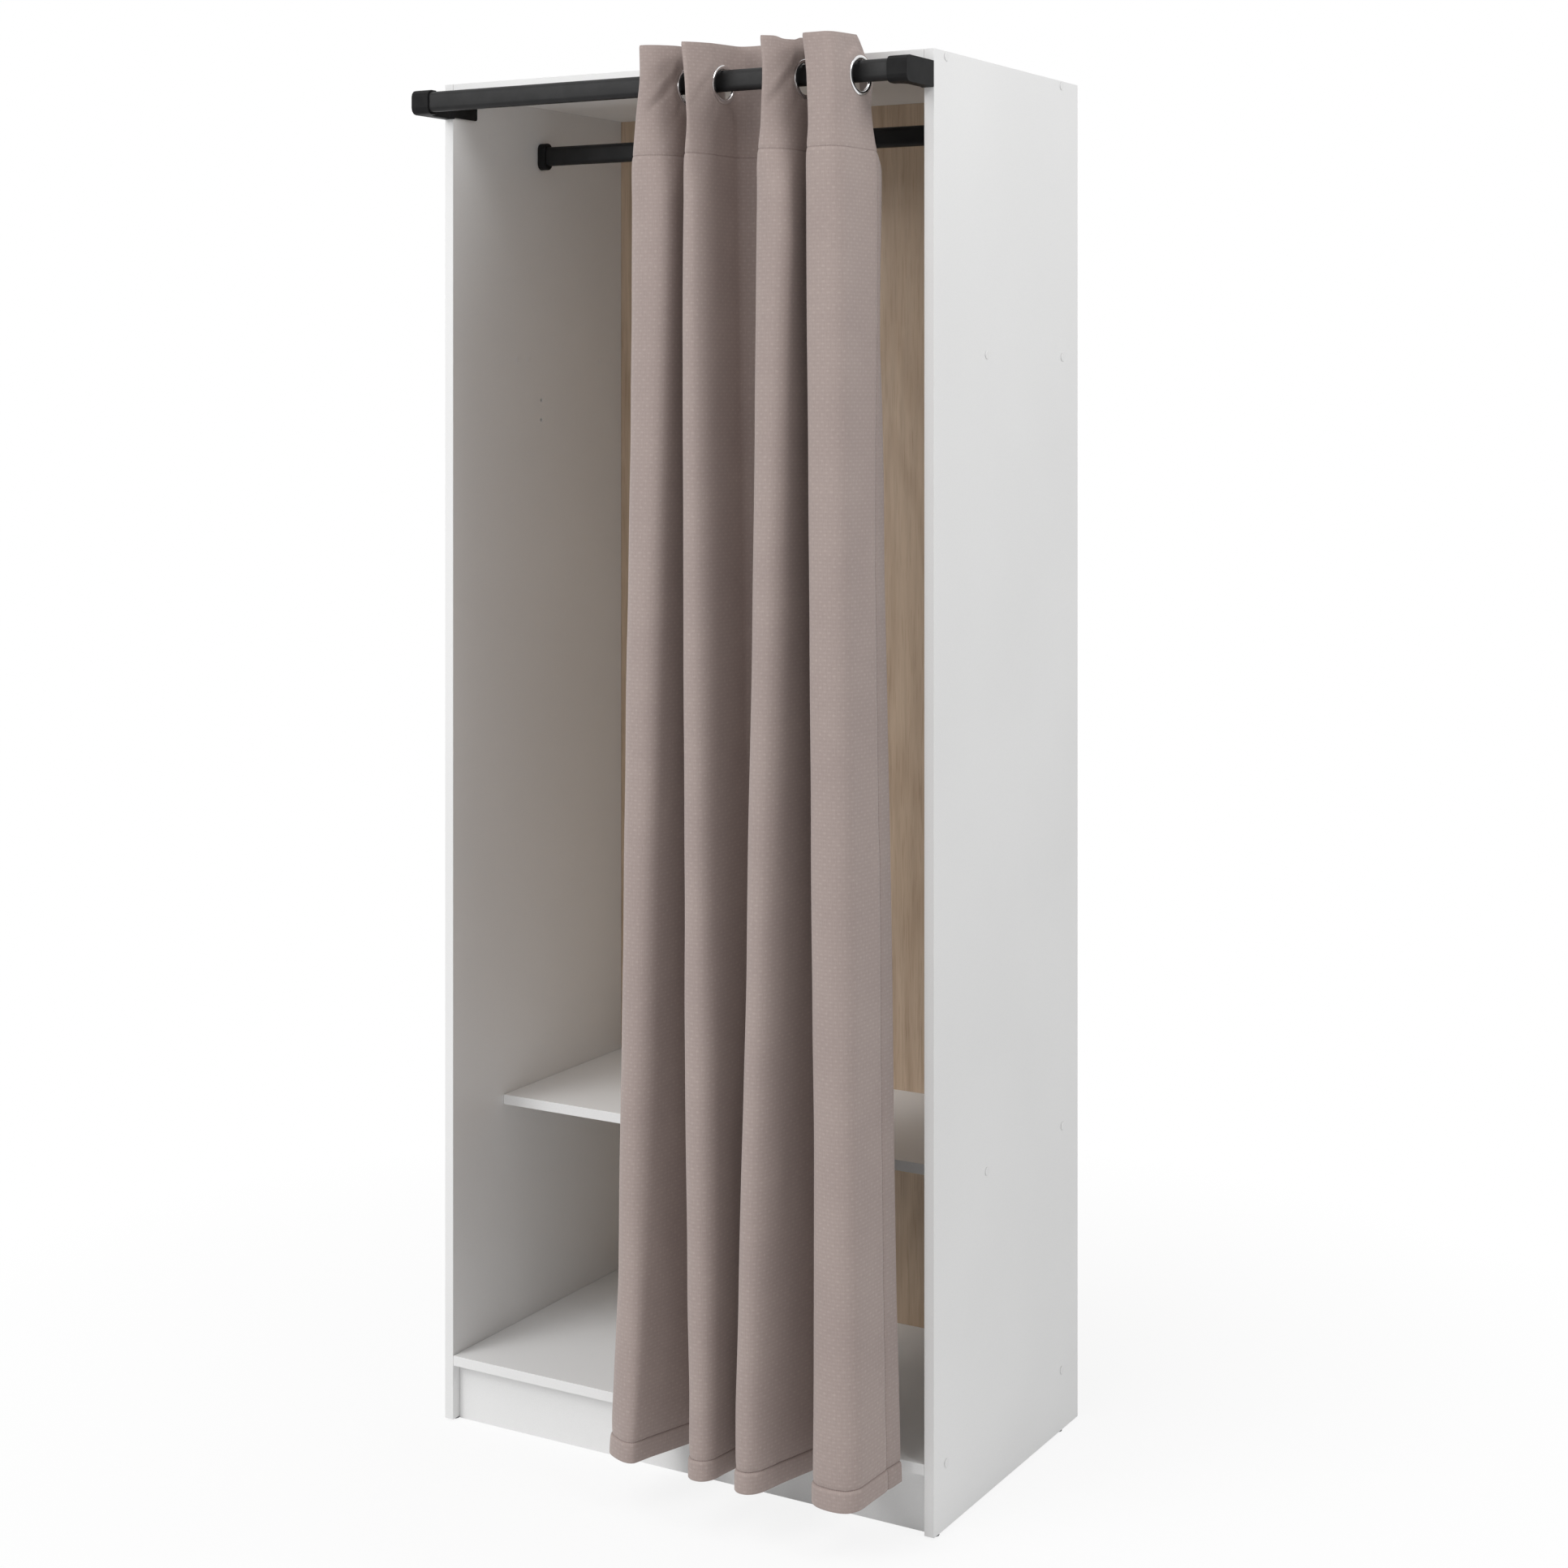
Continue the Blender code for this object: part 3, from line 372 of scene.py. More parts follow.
outer_cover = cover_profile(COVER_RADIUS, COVER_RISE)
hole_plug = cover_profile(PLUG_RADIUS, PLUG_RISE)
for number in range(1, 13):
    dress(f"connecting_screw_{number}", zinc)
    low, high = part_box(f"screw_cover_{number}")
    turn, x = (TOWARDS_RIGHT, SIDE_OUTER_X) if number > 6 else (TOWARDS_LEFT, -SIDE_OUTER_X)
    middle = (low + high) / 2
    place = Matrix.Translation((x, middle.y, middle.z)) @ turn
    cover = turned_piece(f"cover_{number}", outer_cover, place, white_cover)
    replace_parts(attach(cover, "root"), f"screw_cover_{number}")

for side, turn, back_turn in ((-1, TOWARDS_LEFT, TOWARDS_RIGHT), (1, TOWARDS_RIGHT, TOWARDS_LEFT)):
    hand = "right" if side > 0 else "left"
    for number, y in enumerate(SPARE_SCREW_YS, 1):
        place = Matrix.Translation((side * SIDE_OUTER_X, y, SPARE_SHELF_Z)) @ turn
        cover = turned_piece(f"{hand}_spare_cover_{number}", outer_cover, place, white_cover)
        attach(cover, "root")
    for number, y in enumerate(sorted(SPARE_SCREW_YS + SPARE_DOWEL_YS), 1):
        place = Matrix.Translation((side * SIDE_INNER_X, y, SPARE_SHELF_Z)) @ back_turn
        plug = turned_piece(f"{hand}_hole_plug_{number}", hole_plug, place, white_cover)
        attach(plug, "root")


# Floor glides of grey plastic: a round pad under each end of both sides, nailed
# into the board's lower edge.
GLIDE_RADIUS = 0.0072
GLIDE_EDGE = 0.0008
GLIDE_GAP = 0.0003
NAIL = [(-0.014, 0.0007), (-0.012, 0.001), (GLIDE_GAP, 0.001)]

grey_plastic, tree, shader = new_finish("grey_plastic", 0.5)
grain = mottle(tree, place_of(tree), 1100.0, 3.0)
moulded = tone(tree, grain, shaded((0.085, 0.085, 0.085), (0.13, 0.13, 0.13)))
paint(tree, shader, moulded, grain, 0.42, 0.6)
raise_by(tree, shader, grain, 0.00005, 0.6)

pad = [(GLIDE_GAP, GLIDE_RADIUS)] + rounded_rim(CARCASS_FOOT, GLIDE_RADIUS, GLIDE_EDGE)
for number in range(1, 5):
    low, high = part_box(f"floor_glide_{number}")
    middle = (low + high) / 2
    place = Matrix.Translation((middle.x, middle.y, CARCASS_FOOT)) @ Matrix.Rotation(math.pi, 4, "X")
    glide = turned_piece(f"glide_{number}", NAIL + pad, place, grey_plastic)
    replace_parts(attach(glide, "root"), f"floor_glide_{number}")


# Clothes rail and curtain rail: two lengths of the same oval steel tube, standing on
# its narrow edge and held at both ends. The black powder coat has a fine orange peel.
RAIL_HEIGHT = 0.030
RAIL_DEPTH = 0.015
RAIL_WALL = 0.001

black_coat, tree, shader = new_finish("black_powder_coat", 0.42)
shader.inputs["Specular IOR Level"].default_value = 0.2
place = place_of(tree)
peel = mottle(tree, place, 700.0, 2.0)
dust = mottle(tree, place, 40.0, 3.0)
coat = tone(tree, dust, shaded((0.014, 0.014, 0.0145), (0.019, 0.019, 0.0195)))
fleck = tone(tree, peel, shaded((0.86, 0.86, 0.86), (1.0, 1.0, 1.0), 0.3, 0.6))
paint(tree, shader, tint(tree, coat, fleck), peel, 0.36, 0.5)
raise_by(tree, shader, peel, 0.00008, 0.7)


def oval_ring(x, middle, depth, height, steps=14):
    """Points of an upright oval, across the rail, at the given x."""
    radius = depth / 2
    rise = height / 2 - radius
    points = []
    for centre, start in ((rise, 0.0), (-rise, math.pi)):
        for step in range(steps + 1):
            angle = start + math.pi * step / steps
            y = middle[1] + radius * math.cos(angle)
            points.append((x, y, middle[2] + centre + radius * math.sin(angle)))
    return points


def oval_piece(name, sections, middle, finish, ring=False):
    """Loft ovals given as (x, depth, height), with closed ends or as an open tube."""
    rings = [oval_ring(x, middle, depth, height) for x, depth, height in sections]
    faces = skin_of(len(rings), len(rings[0]), ring)
    if sections[0][0] > sections[1][0]:
        faces = [face[::-1] for face in faces]
    return new_piece(name, [point for points in rings for point in points], faces, finish)


for name in ("clothes_rail", "curtain_rail"):
    low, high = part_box(name)
    inner_depth, inner_height = RAIL_DEPTH - 2 * RAIL_WALL, RAIL_HEIGHT - 2 * RAIL_WALL
    sections = [(low.x, RAIL_DEPTH, RAIL_HEIGHT), (high.x, RAIL_DEPTH, RAIL_HEIGHT)]
    sections += [(high.x, inner_depth, inner_height), (low.x, inner_depth, inner_height)]
    tube = oval_piece(f"{name}_tube", sections, (low + high) / 2, black_coat, ring=True)
    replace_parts(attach(tube, "root"), name)


# Moulded black fittings: the sockets that hold the ends of the clothes rail, and
# the brackets that carry the curtain rail in front of the sides. Each is pegged
# into holes of its side board.
PLATE_GAP = 0.0003
BRACKET_EDGE = 0.0007
# The socket's ovals, from the board out and into its mouth, as reach, depth and height.
SOCKET_OVALS = (
    (0.0, 0.0205, 0.042), (0.0122, 0.0205, 0.042), (0.0132, 0.0202, 0.0417), (0.0138, 0.0195, 0.041),
    (0.0140, 0.0185, 0.040), (0.0140, 0.0166, 0.0316), (0.0135, 0.0156, 0.0306), (0.002, 0.0156, 0.0306),
)

black_plastic, tree, shader = new_finish("black_plastic", 0.45)
shader.inputs["Specular IOR Level"].default_value = 0.06
place = place_of(tree)
spark = mottle(tree, place, 1600.0, 2.0)
haze = mottle(tree, place, 60.0, 2.0)
shade = tone(tree, haze, shaded((0.014, 0.014, 0.0145), (0.018, 0.018, 0.0185)))
fleck = tone(tree, spark, shaded((0.84, 0.84, 0.84), (1.0, 1.0, 1.0), 0.3, 0.6))
paint(tree, shader, tint(tree, shade, fleck), spark, 0.40, 0.56)
raise_by(tree, shader, spark, 0.00006, 0.7)

for hand, side in (("left", -1), ("right", 1)):
    low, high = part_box(f"{hand}_rail_socket")
    face = side * (SIDE_INNER_X - PLATE_GAP)
    sections = [(face - side * reach, depth, height) for reach, depth, height in SOCKET_OVALS]
    socket = oval_piece(f"{hand}_socket", sections, (low + high) / 2, black_plastic)
    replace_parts(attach(socket, "root"), f"{hand}_rail_socket")
    ease_edges(dress(f"{hand}_curtain_bracket", black_plastic), BRACKET_EDGE, 3, 40.0)


# Eyelets of bright chromed brass. Each has a domed ring in front, a sleeve through
# the hole in the cloth, and a washer behind that the sleeve is rolled over.
EYELET_BORE = 0.021
EYELET_RIM = 0.027
SLEEVE_RADIUS = 0.0219
DOME_FOOT = 0.0005
DOME_RISE = 0.0013
DOME_STEPS = 10
EYELET_TURN = math.radians(4.5)
OFF_MIDDLE = 0.00015
CLOTH_FACE = 0.0008
CLOTH_GAP = 0.0003
# The washer and the rolled end of the sleeve, as distances behind the cloth and radii.
WASHER = (
    (0.0, EYELET_RIM), (0.0007, EYELET_RIM - 0.0002), (0.0010, 0.0255), (0.0010, 0.0235),
    (0.0012, 0.0225), (0.0009, 0.0213), (0.0004, EYELET_BORE),
)

chrome, tree, shader = new_finish("chrome", 0.1, 1.0)
smear = mottle(tree, place_of(tree), 90.0, 3.0)
hairline = mottle(tree, place_of(tree, (1.0, 1.0, 0.2)), 1500.0, 2.0)
bright = tone(tree, smear, shaded((0.74, 0.74, 0.75), (0.84, 0.84, 0.84)))
paint(tree, shader, bright, smear, 0.05, 0.14)
raise_by(tree, shader, hairline, 0.00001, 0.4)

back, front = -CLOTH_FACE - CLOTH_GAP, CLOTH_FACE + CLOTH_GAP
ring_profile = [(front, EYELET_RIM), (front, SLEEVE_RADIUS), (back, SLEEVE_RADIUS)]
ring_profile += [(back - behind, radius) for behind, radius in WASHER]
for step in range(DOME_STEPS, -1, -1):
    angle = math.pi * step / DOME_STEPS
    radius = (EYELET_RIM + EYELET_BORE) / 2 + (EYELET_RIM - EYELET_BORE) / 2 * math.cos(angle)
    ring_profile.append((CLOTH_FACE + DOME_FOOT + DOME_RISE * math.sin(angle) ** 0.8, radius))

eyelet_places = []
for number in range(1, 9):
    low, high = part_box(f"eyelet_{number}")
    side = 1 if number % 2 == 0 else -1
    turn = Matrix.Rotation(-side * EYELET_TURN, 4, "Z") @ (TOWARDS_RIGHT if side > 0 else TOWARDS_LEFT)
    outward = turn @ Vector((0.0, 0.0, 1.0))
    centre = (low + high) / 2 - outward * OFF_MIDDLE
    eyelet_places.append(centre)
    place = Matrix.Translation(centre) @ turn
    ring = turned_piece(f"chrome_eyelet_{number}", ring_profile, place, chrome, 72, True)
    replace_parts(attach(ring, f"runner_{number}"), f"eyelet_{number}")


# The curtain: one width of taupe dotted cloth, with a heading and hems turned to the
# back and stitched. It hangs in four folds from the eyelets, and is made here in nine
# lengths that meet there.

# How far the rail's middle and the crests stand out from the boards, the heights of
# the cloth's edges and stitches above the boards' foot, and the width of a side hem.
RAIL_REACH = 0.0705
CREST_REACH = 0.137
CLOTH_TOP = 2.0180
HEM_END = 0.0685
HEADING_STITCH = 1.8625
HEM_STITCH = HEM_END + 0.0275
SIDE_HEM = 0.027

# Heights above the boards' foot, from the top edge to the hem, and at each of them
# how far right the front corners of the eight flanks and the back corners of the
# first seven stand.
LEVELS = (2.018, 1.97, 1.90, 1.85, 1.75, 1.63, 1.19, 0.75, 0.31, 0.18, 0.068)
FRONTS = (
    (0.0215, 0.0235, 0.0122, 0.0042, 0.0045, 0.0043, -0.0029, -0.0079, -0.0165, -0.0256, -0.0330),
    (0.0629, 0.0629, 0.0629, 0.0715, 0.0715, 0.0670, 0.0495, 0.0370, 0.0245, 0.0195, 0.0155),
    (0.0935, 0.1012, 0.1058, 0.0965, 0.0946, 0.0930, 0.0930, 0.0965, 0.1020, 0.1060, 0.1060),
    (0.1195, 0.1195, 0.1195, 0.1200, 0.1215, 0.1230, 0.1290, 0.1345, 0.1390, 0.1400, 0.1405),
    (0.2190, 0.2240, 0.2202, 0.2086, 0.2075, 0.2075, 0.2024, 0.1955, 0.1840, 0.1790, 0.1790),
    (0.2486, 0.2486, 0.2486, 0.2565, 0.2585, 0.2530, 0.2410, 0.2270, 0.2155, 0.2135, 0.2125),
    (0.2740, 0.2812, 0.2830, 0.2773, 0.2777, 0.2786, 0.2835, 0.2897, 0.2904, 0.2900, 0.2890),
    (0.3217, 0.3285, 0.3310, 0.3330, 0.3345, 0.3360, 0.3420, 0.3480, 0.3540, 0.3560, 0.3575),
)
BACKS = (
    (0.0132, 0.0132, 0.0132, 0.0030, 0.0012, -0.0005, -0.0075, -0.0145, -0.0215, -0.0240, -0.0255),
    (0.0707, 0.0707, 0.0707, 0.0703, 0.0692, 0.0680, 0.0645, 0.0610, 0.0580, 0.0570, 0.0564),
    (0.0873, 0.0873, 0.0873, 0.0873, 0.0878, 0.0883, 0.0905, 0.0926, 0.0948, 0.0955, 0.0960),
    (0.1255, 0.1255, 0.1255, 0.1270, 0.1292, 0.1310, 0.1385, 0.1460, 0.1530, 0.1548, 0.1560),
    (0.2119, 0.2119, 0.2119, 0.2060, 0.2040, 0.2020, 0.1945, 0.1870, 0.1790, 0.1762, 0.1740),
    (0.2562, 0.2562, 0.2562, 0.2560, 0.2552, 0.2545, 0.2525, 0.2500, 0.2480, 0.2470, 0.2463),
    (0.2761, 0.2761, 0.2761, 0.2761, 0.2770, 0.2776, 0.2806, 0.2835, 0.2865, 0.2874, 0.2880),
)
LEFT_EDGE = (0.0120, 0.0122, 0.0125, 0.0085, 0.0062, 0.0040, -0.0030, -0.0100, -0.0170, -0.0195, -0.0215)

# The right flap is turned behind above and hangs open below. At each height: how
# far back the line under its eyelet runs, and the places of its bend and its edge.
RIGHT_FLAP = (
    (2.050, -0.0705, (0.3190, -0.0750), (0.2850, -0.0310)),
    (2.018, -0.0705, (0.3265, -0.0630), (0.2900, -0.0250)),
    (1.995, -0.0705, (0.3318, -0.0530), (0.2960, -0.0170)),
    (1.970, -0.0705, (0.3368, -0.0415), (0.3020, -0.0120)),
    (1.900, -0.0705, (0.3380, -0.0395), (0.3080, -0.0110)),
    (1.850, -0.0705, (0.3417, -0.0300), (0.3319, -0.0035)),
    (1.750, -0.0710, (0.3422, -0.0275), (0.3303, -0.0035)),
    (1.630, -0.0720, (0.3425, -0.0285), (0.3288, -0.0060)),
    (1.520, -0.0770, (0.3475, -0.0400), (0.3400, -0.0190)),
    (1.410, -0.0830, (0.3510, -0.0500), (0.3468, -0.0265)),
    (1.300, -0.0890, (0.3526, -0.0555), (0.3492, -0.0290)),
    (0.975, -0.0955, (0.3567, -0.0555), (0.3575, -0.0285)),
    (0.757, -0.0955, (0.3596, -0.0555), (0.3615, -0.0285)),
    (0.320, -0.0955, (0.3645, -0.0555), (0.3680, -0.0290)),
    (0.097, -0.0955, (0.3691, -0.0555), (0.3745, -0.0295)),
    (0.068, -0.0955, (0.3697, -0.0555), (0.3755, -0.0295)),
)

# How far from the boards the crests and the valleys stand, at the heading and at
# the hem, how much each flank's front corner is off that line at either end, how the
# middle of each crest comes forward at the heading, and between which heights.
CRESTS = ((-0.1365, -0.1370), (-0.1400, -0.1430), (-0.1400, -0.1455), (-0.1305, -0.1336))
VALLEYS = ((-0.0045, -0.0045), (-0.0275, -0.0065), (-0.0045, -0.0045))
HEADING_SLANTS = (0.0, 0.0325, 0.0, 0.0360, 0.0, 0.0380, 0.0, 0.0)
HEM_SLANTS = (0.0110, -0.0080, 0.0, 0.0, 0.0, 0.0, 0.0, 0.0)
RIDGES = ((-0.0016, -0.0160), (-0.0045, -0.0165), (-0.0085, -0.0185), (0.0, 0.0))
DRIFT_TOP = 1.90
HEADING_BAND = (1.80, 1.93)
HEM_BAND = (0.10, 0.40)

# The left flap runs from its edge over a knee to the first eyelet, and either flap has
# the same flat width. Then the runs of the round bends: at a corner, at the hem under
# each crest, and into and out of the knee of either flap.
EDGE_Y = -0.0035
KNEE_Y = -0.0275
FLAP_FLAT = 0.069
BEND_RUN = 0.024
HEM_RUNS = (0.012, 0.024, 0.024, 0.024)
LEFT_KNEE_RUNS = (0.014, 0.013)
RIGHT_KNEE_RUNS = (0.013, 0.012)

# Of each half of a crest, the share that its corner's bend takes up, the part of it
# that the bend over the ridge takes at the heading, and the share of both together.
CORNER_SHARE = 0.96
RIDGE_SHARE = 0.48
BOTH_SHARE = 0.99

# The mesh: rows from one height down to another at a pitch, the rows near a stitch
# in steps of a closer pitch, the columns of a side hem, and those of a fold.
ROW_BANDS = (
    (CLOTH_TOP, 1.905, 0.0037),
    (1.90, 1.70, 0.009),
    (1.69, 0.16, 0.016),
    (0.15, HEM_END + 0.002, 0.0055),
)
STITCH_ROWS = (-10, -7, -5, -4, -3, -2, -1, 0, 1, 2, 3, 5, 8, 11)
STITCH_PITCH = 0.0007
STITCH_REACH = 0.0085
HEM_COLUMNS = (0.0, 0.0008, 0.004, 0.009, 0.014, 0.019, 0.023, 0.0256, 0.0263, 0.027, 0.0277, 0.0284)
LOOP_STEPS = 48

# Each eyelet holds the cloth flat to either side of its middle and round its rim,
# less far on the right flap. Nearer still the cloth neither wanders nor stretches.
FLAT_HALF = 0.027
HELD_REACH = 0.042
HELD_FADE = 0.013
HELD_ACROSS = 0.045
FLAP_REACH = 0.0335
FLAP_FADE = 0.005
STILL_REACH = 0.030
HOLE_RADIUS = 0.0226

# Creases: the pinches round each eyelet, by their angle from straight down and their
# depth, and the drag lines, by their eyelet and their depth, with how far above the
# eyelet's middle each starts, how far inward, and how far it falls over its run.
PINCHES = ((-0.62, 0.0017), (0.55, 0.0019), (-2.55, 0.0009), (2.62, 0.0009))
DRAGS = ((2, 0.0030), (4, 0.0014), (6, 0.0034))
DRAG_ABOVE = 0.014
DRAG_START = 0.028
DRAG_FALL = 0.052
DRAG_RUN = 0.050

# How far the top edge dips, on every crest and on the third, how far the lower edge
# waves, and how far the lower right corner is drawn up, over what width and height.
DIP_FROM = 1.99
TOP_DIP = 0.0045
THIRD_DIP = 0.0040
HEM_WAVE = 0.0012
CORNER_RISE = 0.013
CORNER_WIDTH = 0.105
CORNER_HEIGHT = 0.2

# How far the cloth wanders, by how much further at the hem, and in waves of which
# scales and seed: wide waves first, then narrow ones.
WANDERS = ((0.0010, 0.0016, 11.0, 2.2, 4.7), (0.0004, 0.0005, 34.0, 6.5, 9.1))

# The weave: light dots in staggered rows, in dots, threads and stitches to the metre,
# how far its lines stray, how deep a stitch sinks, and the step of a doubled edge.
DOTS_ACROSS = 1 / 0.0137
DOTS_DOWN = 1 / 0.0103
THREADS = 1100.0
STITCHES = 1 / 0.0032
YARN_STRAY = 0.0026
STITCH_DIP = 0.0009
HEM_STEP = 0.0014

taupe_cloth, tree, shader = new_finish("taupe_cloth", 0.86)
shader.inputs["Sheen Weight"].default_value = 0.18
shader.inputs["Sheen Roughness"].default_value = 0.55
laid = put(tree, "ShaderNodeUVMap", uv_map="cloth").outputs["UV"]
hems = put(tree, "ShaderNodeUVMap", uv_map="hems").outputs["UV"]
hems = put(tree, "ShaderNodeSeparateXYZ", {0: hems}).outputs
wobble = put(tree, "ShaderNodeTexNoise", {"Vector": laid, "Scale": 110.0, "Detail": 3.0}).outputs["Color"]
shift = put(tree, "ShaderNodeVectorMath", {0: wobble, 1: (-0.5, -0.5, -0.5)}, operation="ADD").outputs[0]
shift = put(tree, "ShaderNodeVectorMath", {0: shift, "Scale": YARN_STRAY}, operation="SCALE").outputs[0]
yarn = put(tree, "ShaderNodeVectorMath", {0: laid, 1: shift}, operation="ADD").outputs[0]


def weave_wave(across, down):
    """A wave over the cloth with the given counts of turns per metre."""
    turns = put(tree, "ShaderNodeVectorMath", {0: yarn, 1: (across, down, 0.0)}, operation="DOT_PRODUCT")
    return count(tree, "COSINE", count(tree, "MULTIPLY", turns.outputs["Value"], 2 * math.pi))


dot_waves = count(tree, "ADD", weave_wave(DOTS_ACROSS, DOTS_DOWN), weave_wave(-DOTS_ACROSS, DOTS_DOWN))
patchy = spread(tree, mottle(tree, laid, 75.0, 2.0), 0.35, 0.65, -0.35, 0.35)
dots = spread(tree, count(tree, "ADD", dot_waves, patchy), 0.9, 2.3, 0.0, 1.0)
ribs = spread(tree, weave_wave(0.0, 2 * DOTS_DOWN), -1.0, 1.0, 0.0, 1.0)
threads = count(tree, "MULTIPLY", weave_wave(THREADS, 0.0), weave_wave(0.0, THREADS))
slubs = put(tree, "ShaderNodeMapping", {"Vector": laid, "Scale": (1.0, 0.12, 1.0)}).outputs[0]
slubs = mottle(tree, slubs, 700.0, 3.0, 0.6)
melange = mottle(tree, laid, 1500.0, 2.0)
cloud = mottle(tree, laid, 9.0, 2.0)
ground = tone(tree, cloud, shaded((0.366, 0.297, 0.275), (0.388, 0.317, 0.292)))
ground = tint(tree, ground, tone(tree, dots, shaded((0.985, 0.985, 0.985), (1.09, 1.09, 1.09), 0.0, 1.0)))
ground = tint(tree, ground, tone(tree, ribs, shaded((0.98, 0.98, 0.98), (1.02, 1.02, 1.02), 0.0, 1.0)))
ground = tint(tree, ground, tone(tree, slubs, shaded((0.93, 0.93, 0.93), (1.05, 1.05, 1.05), 0.3, 0.7)))
ground = tint(tree, ground, tone(tree, melange, shaded((0.94, 0.93, 0.93), (1.06, 1.06, 1.06), 0.3, 0.7)))


def stitch_shadow_line(way, place, pitch_across, pitch_down):
    """Painted shadow along a line of stitches: 1 on the line, 0 beside it, with a gap after every stitch.
    """
    off = count(tree, "ABSOLUTE", count(tree, "SUBTRACT", hems[way], place))
    line = spread(tree, off, 0.0003, 0.0012, 1.0, 0.0)
    stitch = spread(tree, weave_wave(pitch_across, pitch_down), -0.9, -0.2, 0.35, 1.0)
    return count(tree, "MULTIPLY", line, stitch)


# Painted shadow: the stitch lines of the heading, the hem and the side hems are coloured darker, for the
# shade the stitches cast.
heading_stitch_shadow = stitch_shadow_line("Y", HEADING_STITCH, STITCHES, 0.0)
hem_stitch_shadow = stitch_shadow_line("Y", HEM_STITCH, STITCHES, 0.0)
seams = count(tree, "MAXIMUM", heading_stitch_shadow, hem_stitch_shadow)
seams = count(tree, "MAXIMUM", seams, stitch_shadow_line("X", SIDE_HEM, 0.0, STITCHES))
# Painted shade: each side hem's strip is coloured a little darker, for the light that the doubled cloth
# keeps back.
side_hem_shade = spread(tree, hems["X"], SIDE_HEM - 0.0004, SIDE_HEM + 0.0004, 1.0, 0.0)
ground = tint(tree, ground, tone(tree, side_hem_shade, shaded((1.0, 1.0, 1.0), (0.91, 0.91, 0.91), 0.0, 1.0)))
# The painted stitch shadows darken the cloth's colour along each stitch line.
ground = tint(tree, ground, tone(tree, seams, shaded((1.0, 1.0, 1.0), (0.76, 0.74, 0.74), 0.0, 1.0)))
tree.links.new(ground, shader.inputs["Base Color"])
tree.links.new(spread(tree, dots, 0.0, 1.0, 0.92, 0.78), shader.inputs["Roughness"])
under = raise_by(tree, shader, spread(tree, threads, -1.0, 1.0, 0.0, 1.0), 0.00006, 0.5)
raise_by(tree, shader, dots, 0.00018, 0.7, under)


def cloth_rows():
    """Heights of the rows of the mesh, close together at eyelets and stitches."""
    rows = [z for top, low, pitch in ROW_BANDS for z in np.arange(top, low, -pitch)]
    for stitch in (HEADING_STITCH, HEM_STITCH):
        rows = [z for z in rows if abs(z - stitch) > STITCH_REACH]
        rows += [stitch + step * STITCH_PITCH for step in STITCH_ROWS]
    return np.array(sorted([*rows, HEM_END + 0.0008, HEM_END], reverse=True))


def eased(values, heights, levels=LEVELS, reach=0.03):
    """A table read at each height, with its corners smoothed over the given reach."""
    steps = np.arange(-reach, reach + 0.001, 0.005)
    weights = np.cos(steps / reach * math.pi / 2) ** 2 + 0.001
    levels, table = np.array(levels[::-1]), np.array(values[::-1])
    return np.average([np.interp(heights + step, levels, table) for step in steps], axis=0, weights=weights)


def drift(ends, heights):
    """From the value at the heading to the one at the hem."""
    share = np.clip((DRIFT_TOP - heights) / (DRIFT_TOP - HEM_END), 0.0, 1.0)
    return ends[0] + (ends[1] - ends[0]) * share


def bend(before, corner, after, into, out, steps=14, fullness=0.6):
    """Points of a round bend in place of a corner."""
    start = corner + (before - corner) / np.linalg.norm(before - corner) * into
    end = corner + (after - corner) / np.linalg.norm(after - corner) * out
    near, far = start + (corner - start) * fullness, end + (corner - end) * fullness
    share = np.linspace(0.0, 1.0, steps)[:, None]
    rest = 1.0 - share
    return rest ** 3 * start + 3 * rest ** 2 * share * near + 3 * rest * share ** 2 * far + share ** 3 * end


def along_flank(top, low, y):
    """The point of a flank at the given distance from the boards."""
    return top + (low - top) * (y - top[1]) / (low[1] - top[1])


def crest_line(first, second, ridge, upward):
    """From corner to corner over a crest, with a ridge along its middle near the top."""
    middle = (first + second) / 2 + ridge * upward
    halves = np.linalg.norm(middle - first), np.linalg.norm(second - middle)
    near = CORNER_SHARE - RIDGE_SHARE * upward
    rest = BOTH_SHARE - near
    over = bend(first, middle, second, rest * halves[0], rest * halves[1])
    return middle, near * halves[0], over, near * halves[1]


def plan_of_row(tops, lows, knees, edges, seam_ys, upward, runs):
    """The cloth from above at one height: nine lines that meet at the eyelets."""
    seams = [along_flank(top, low, y) for top, low, y in zip(tops, lows, seam_ys)]
    lines = [np.vstack((edges[0], bend(edges[0], knees[0], seams[0], *LEFT_KNEE_RUNS), seams[0]))]
    for flank in range(7):
        ends = (tops, lows)[flank % 2]
        first, second = ends[flank], ends[flank + 1]
        ridge = np.array(RIDGES[flank // 2]) * (1 - flank % 2)
        middle, left_half, over, right_half = crest_line(first, second, ridge, upward)
        run = runs[flank // 2] if flank % 2 == 0 else BEND_RUN
        limits = [min(run, abs(corner[1] + RAIL_REACH) - FLAT_HALF) for corner in (first, second)]
        left = bend(seams[flank], first, middle, limits[0], left_half)
        right = bend(middle, second, seams[flank + 1], right_half, limits[1])
        lines.append(np.vstack((seams[flank], left, over, right, seams[flank + 1])))
    into, out = RIGHT_KNEE_RUNS
    run = np.clip(np.linalg.norm(knees[1] - seams[7]) - FLAT_HALF, 0.002, into)
    lines.append(np.vstack((seams[7], bend(seams[7], knees[1], edges[1], run, out), edges[1])))
    return lines


def along_line(line, shares):
    """Points of a line at shares of its length, and its length."""
    steps = np.linalg.norm(np.diff(line, axis=0), axis=1)
    run = np.concatenate(((0.0,), np.cumsum(steps)))
    return np.array([np.interp(shares * run[-1], run, line[:, axis]) for axis in (0, 1)]).T, run[-1]


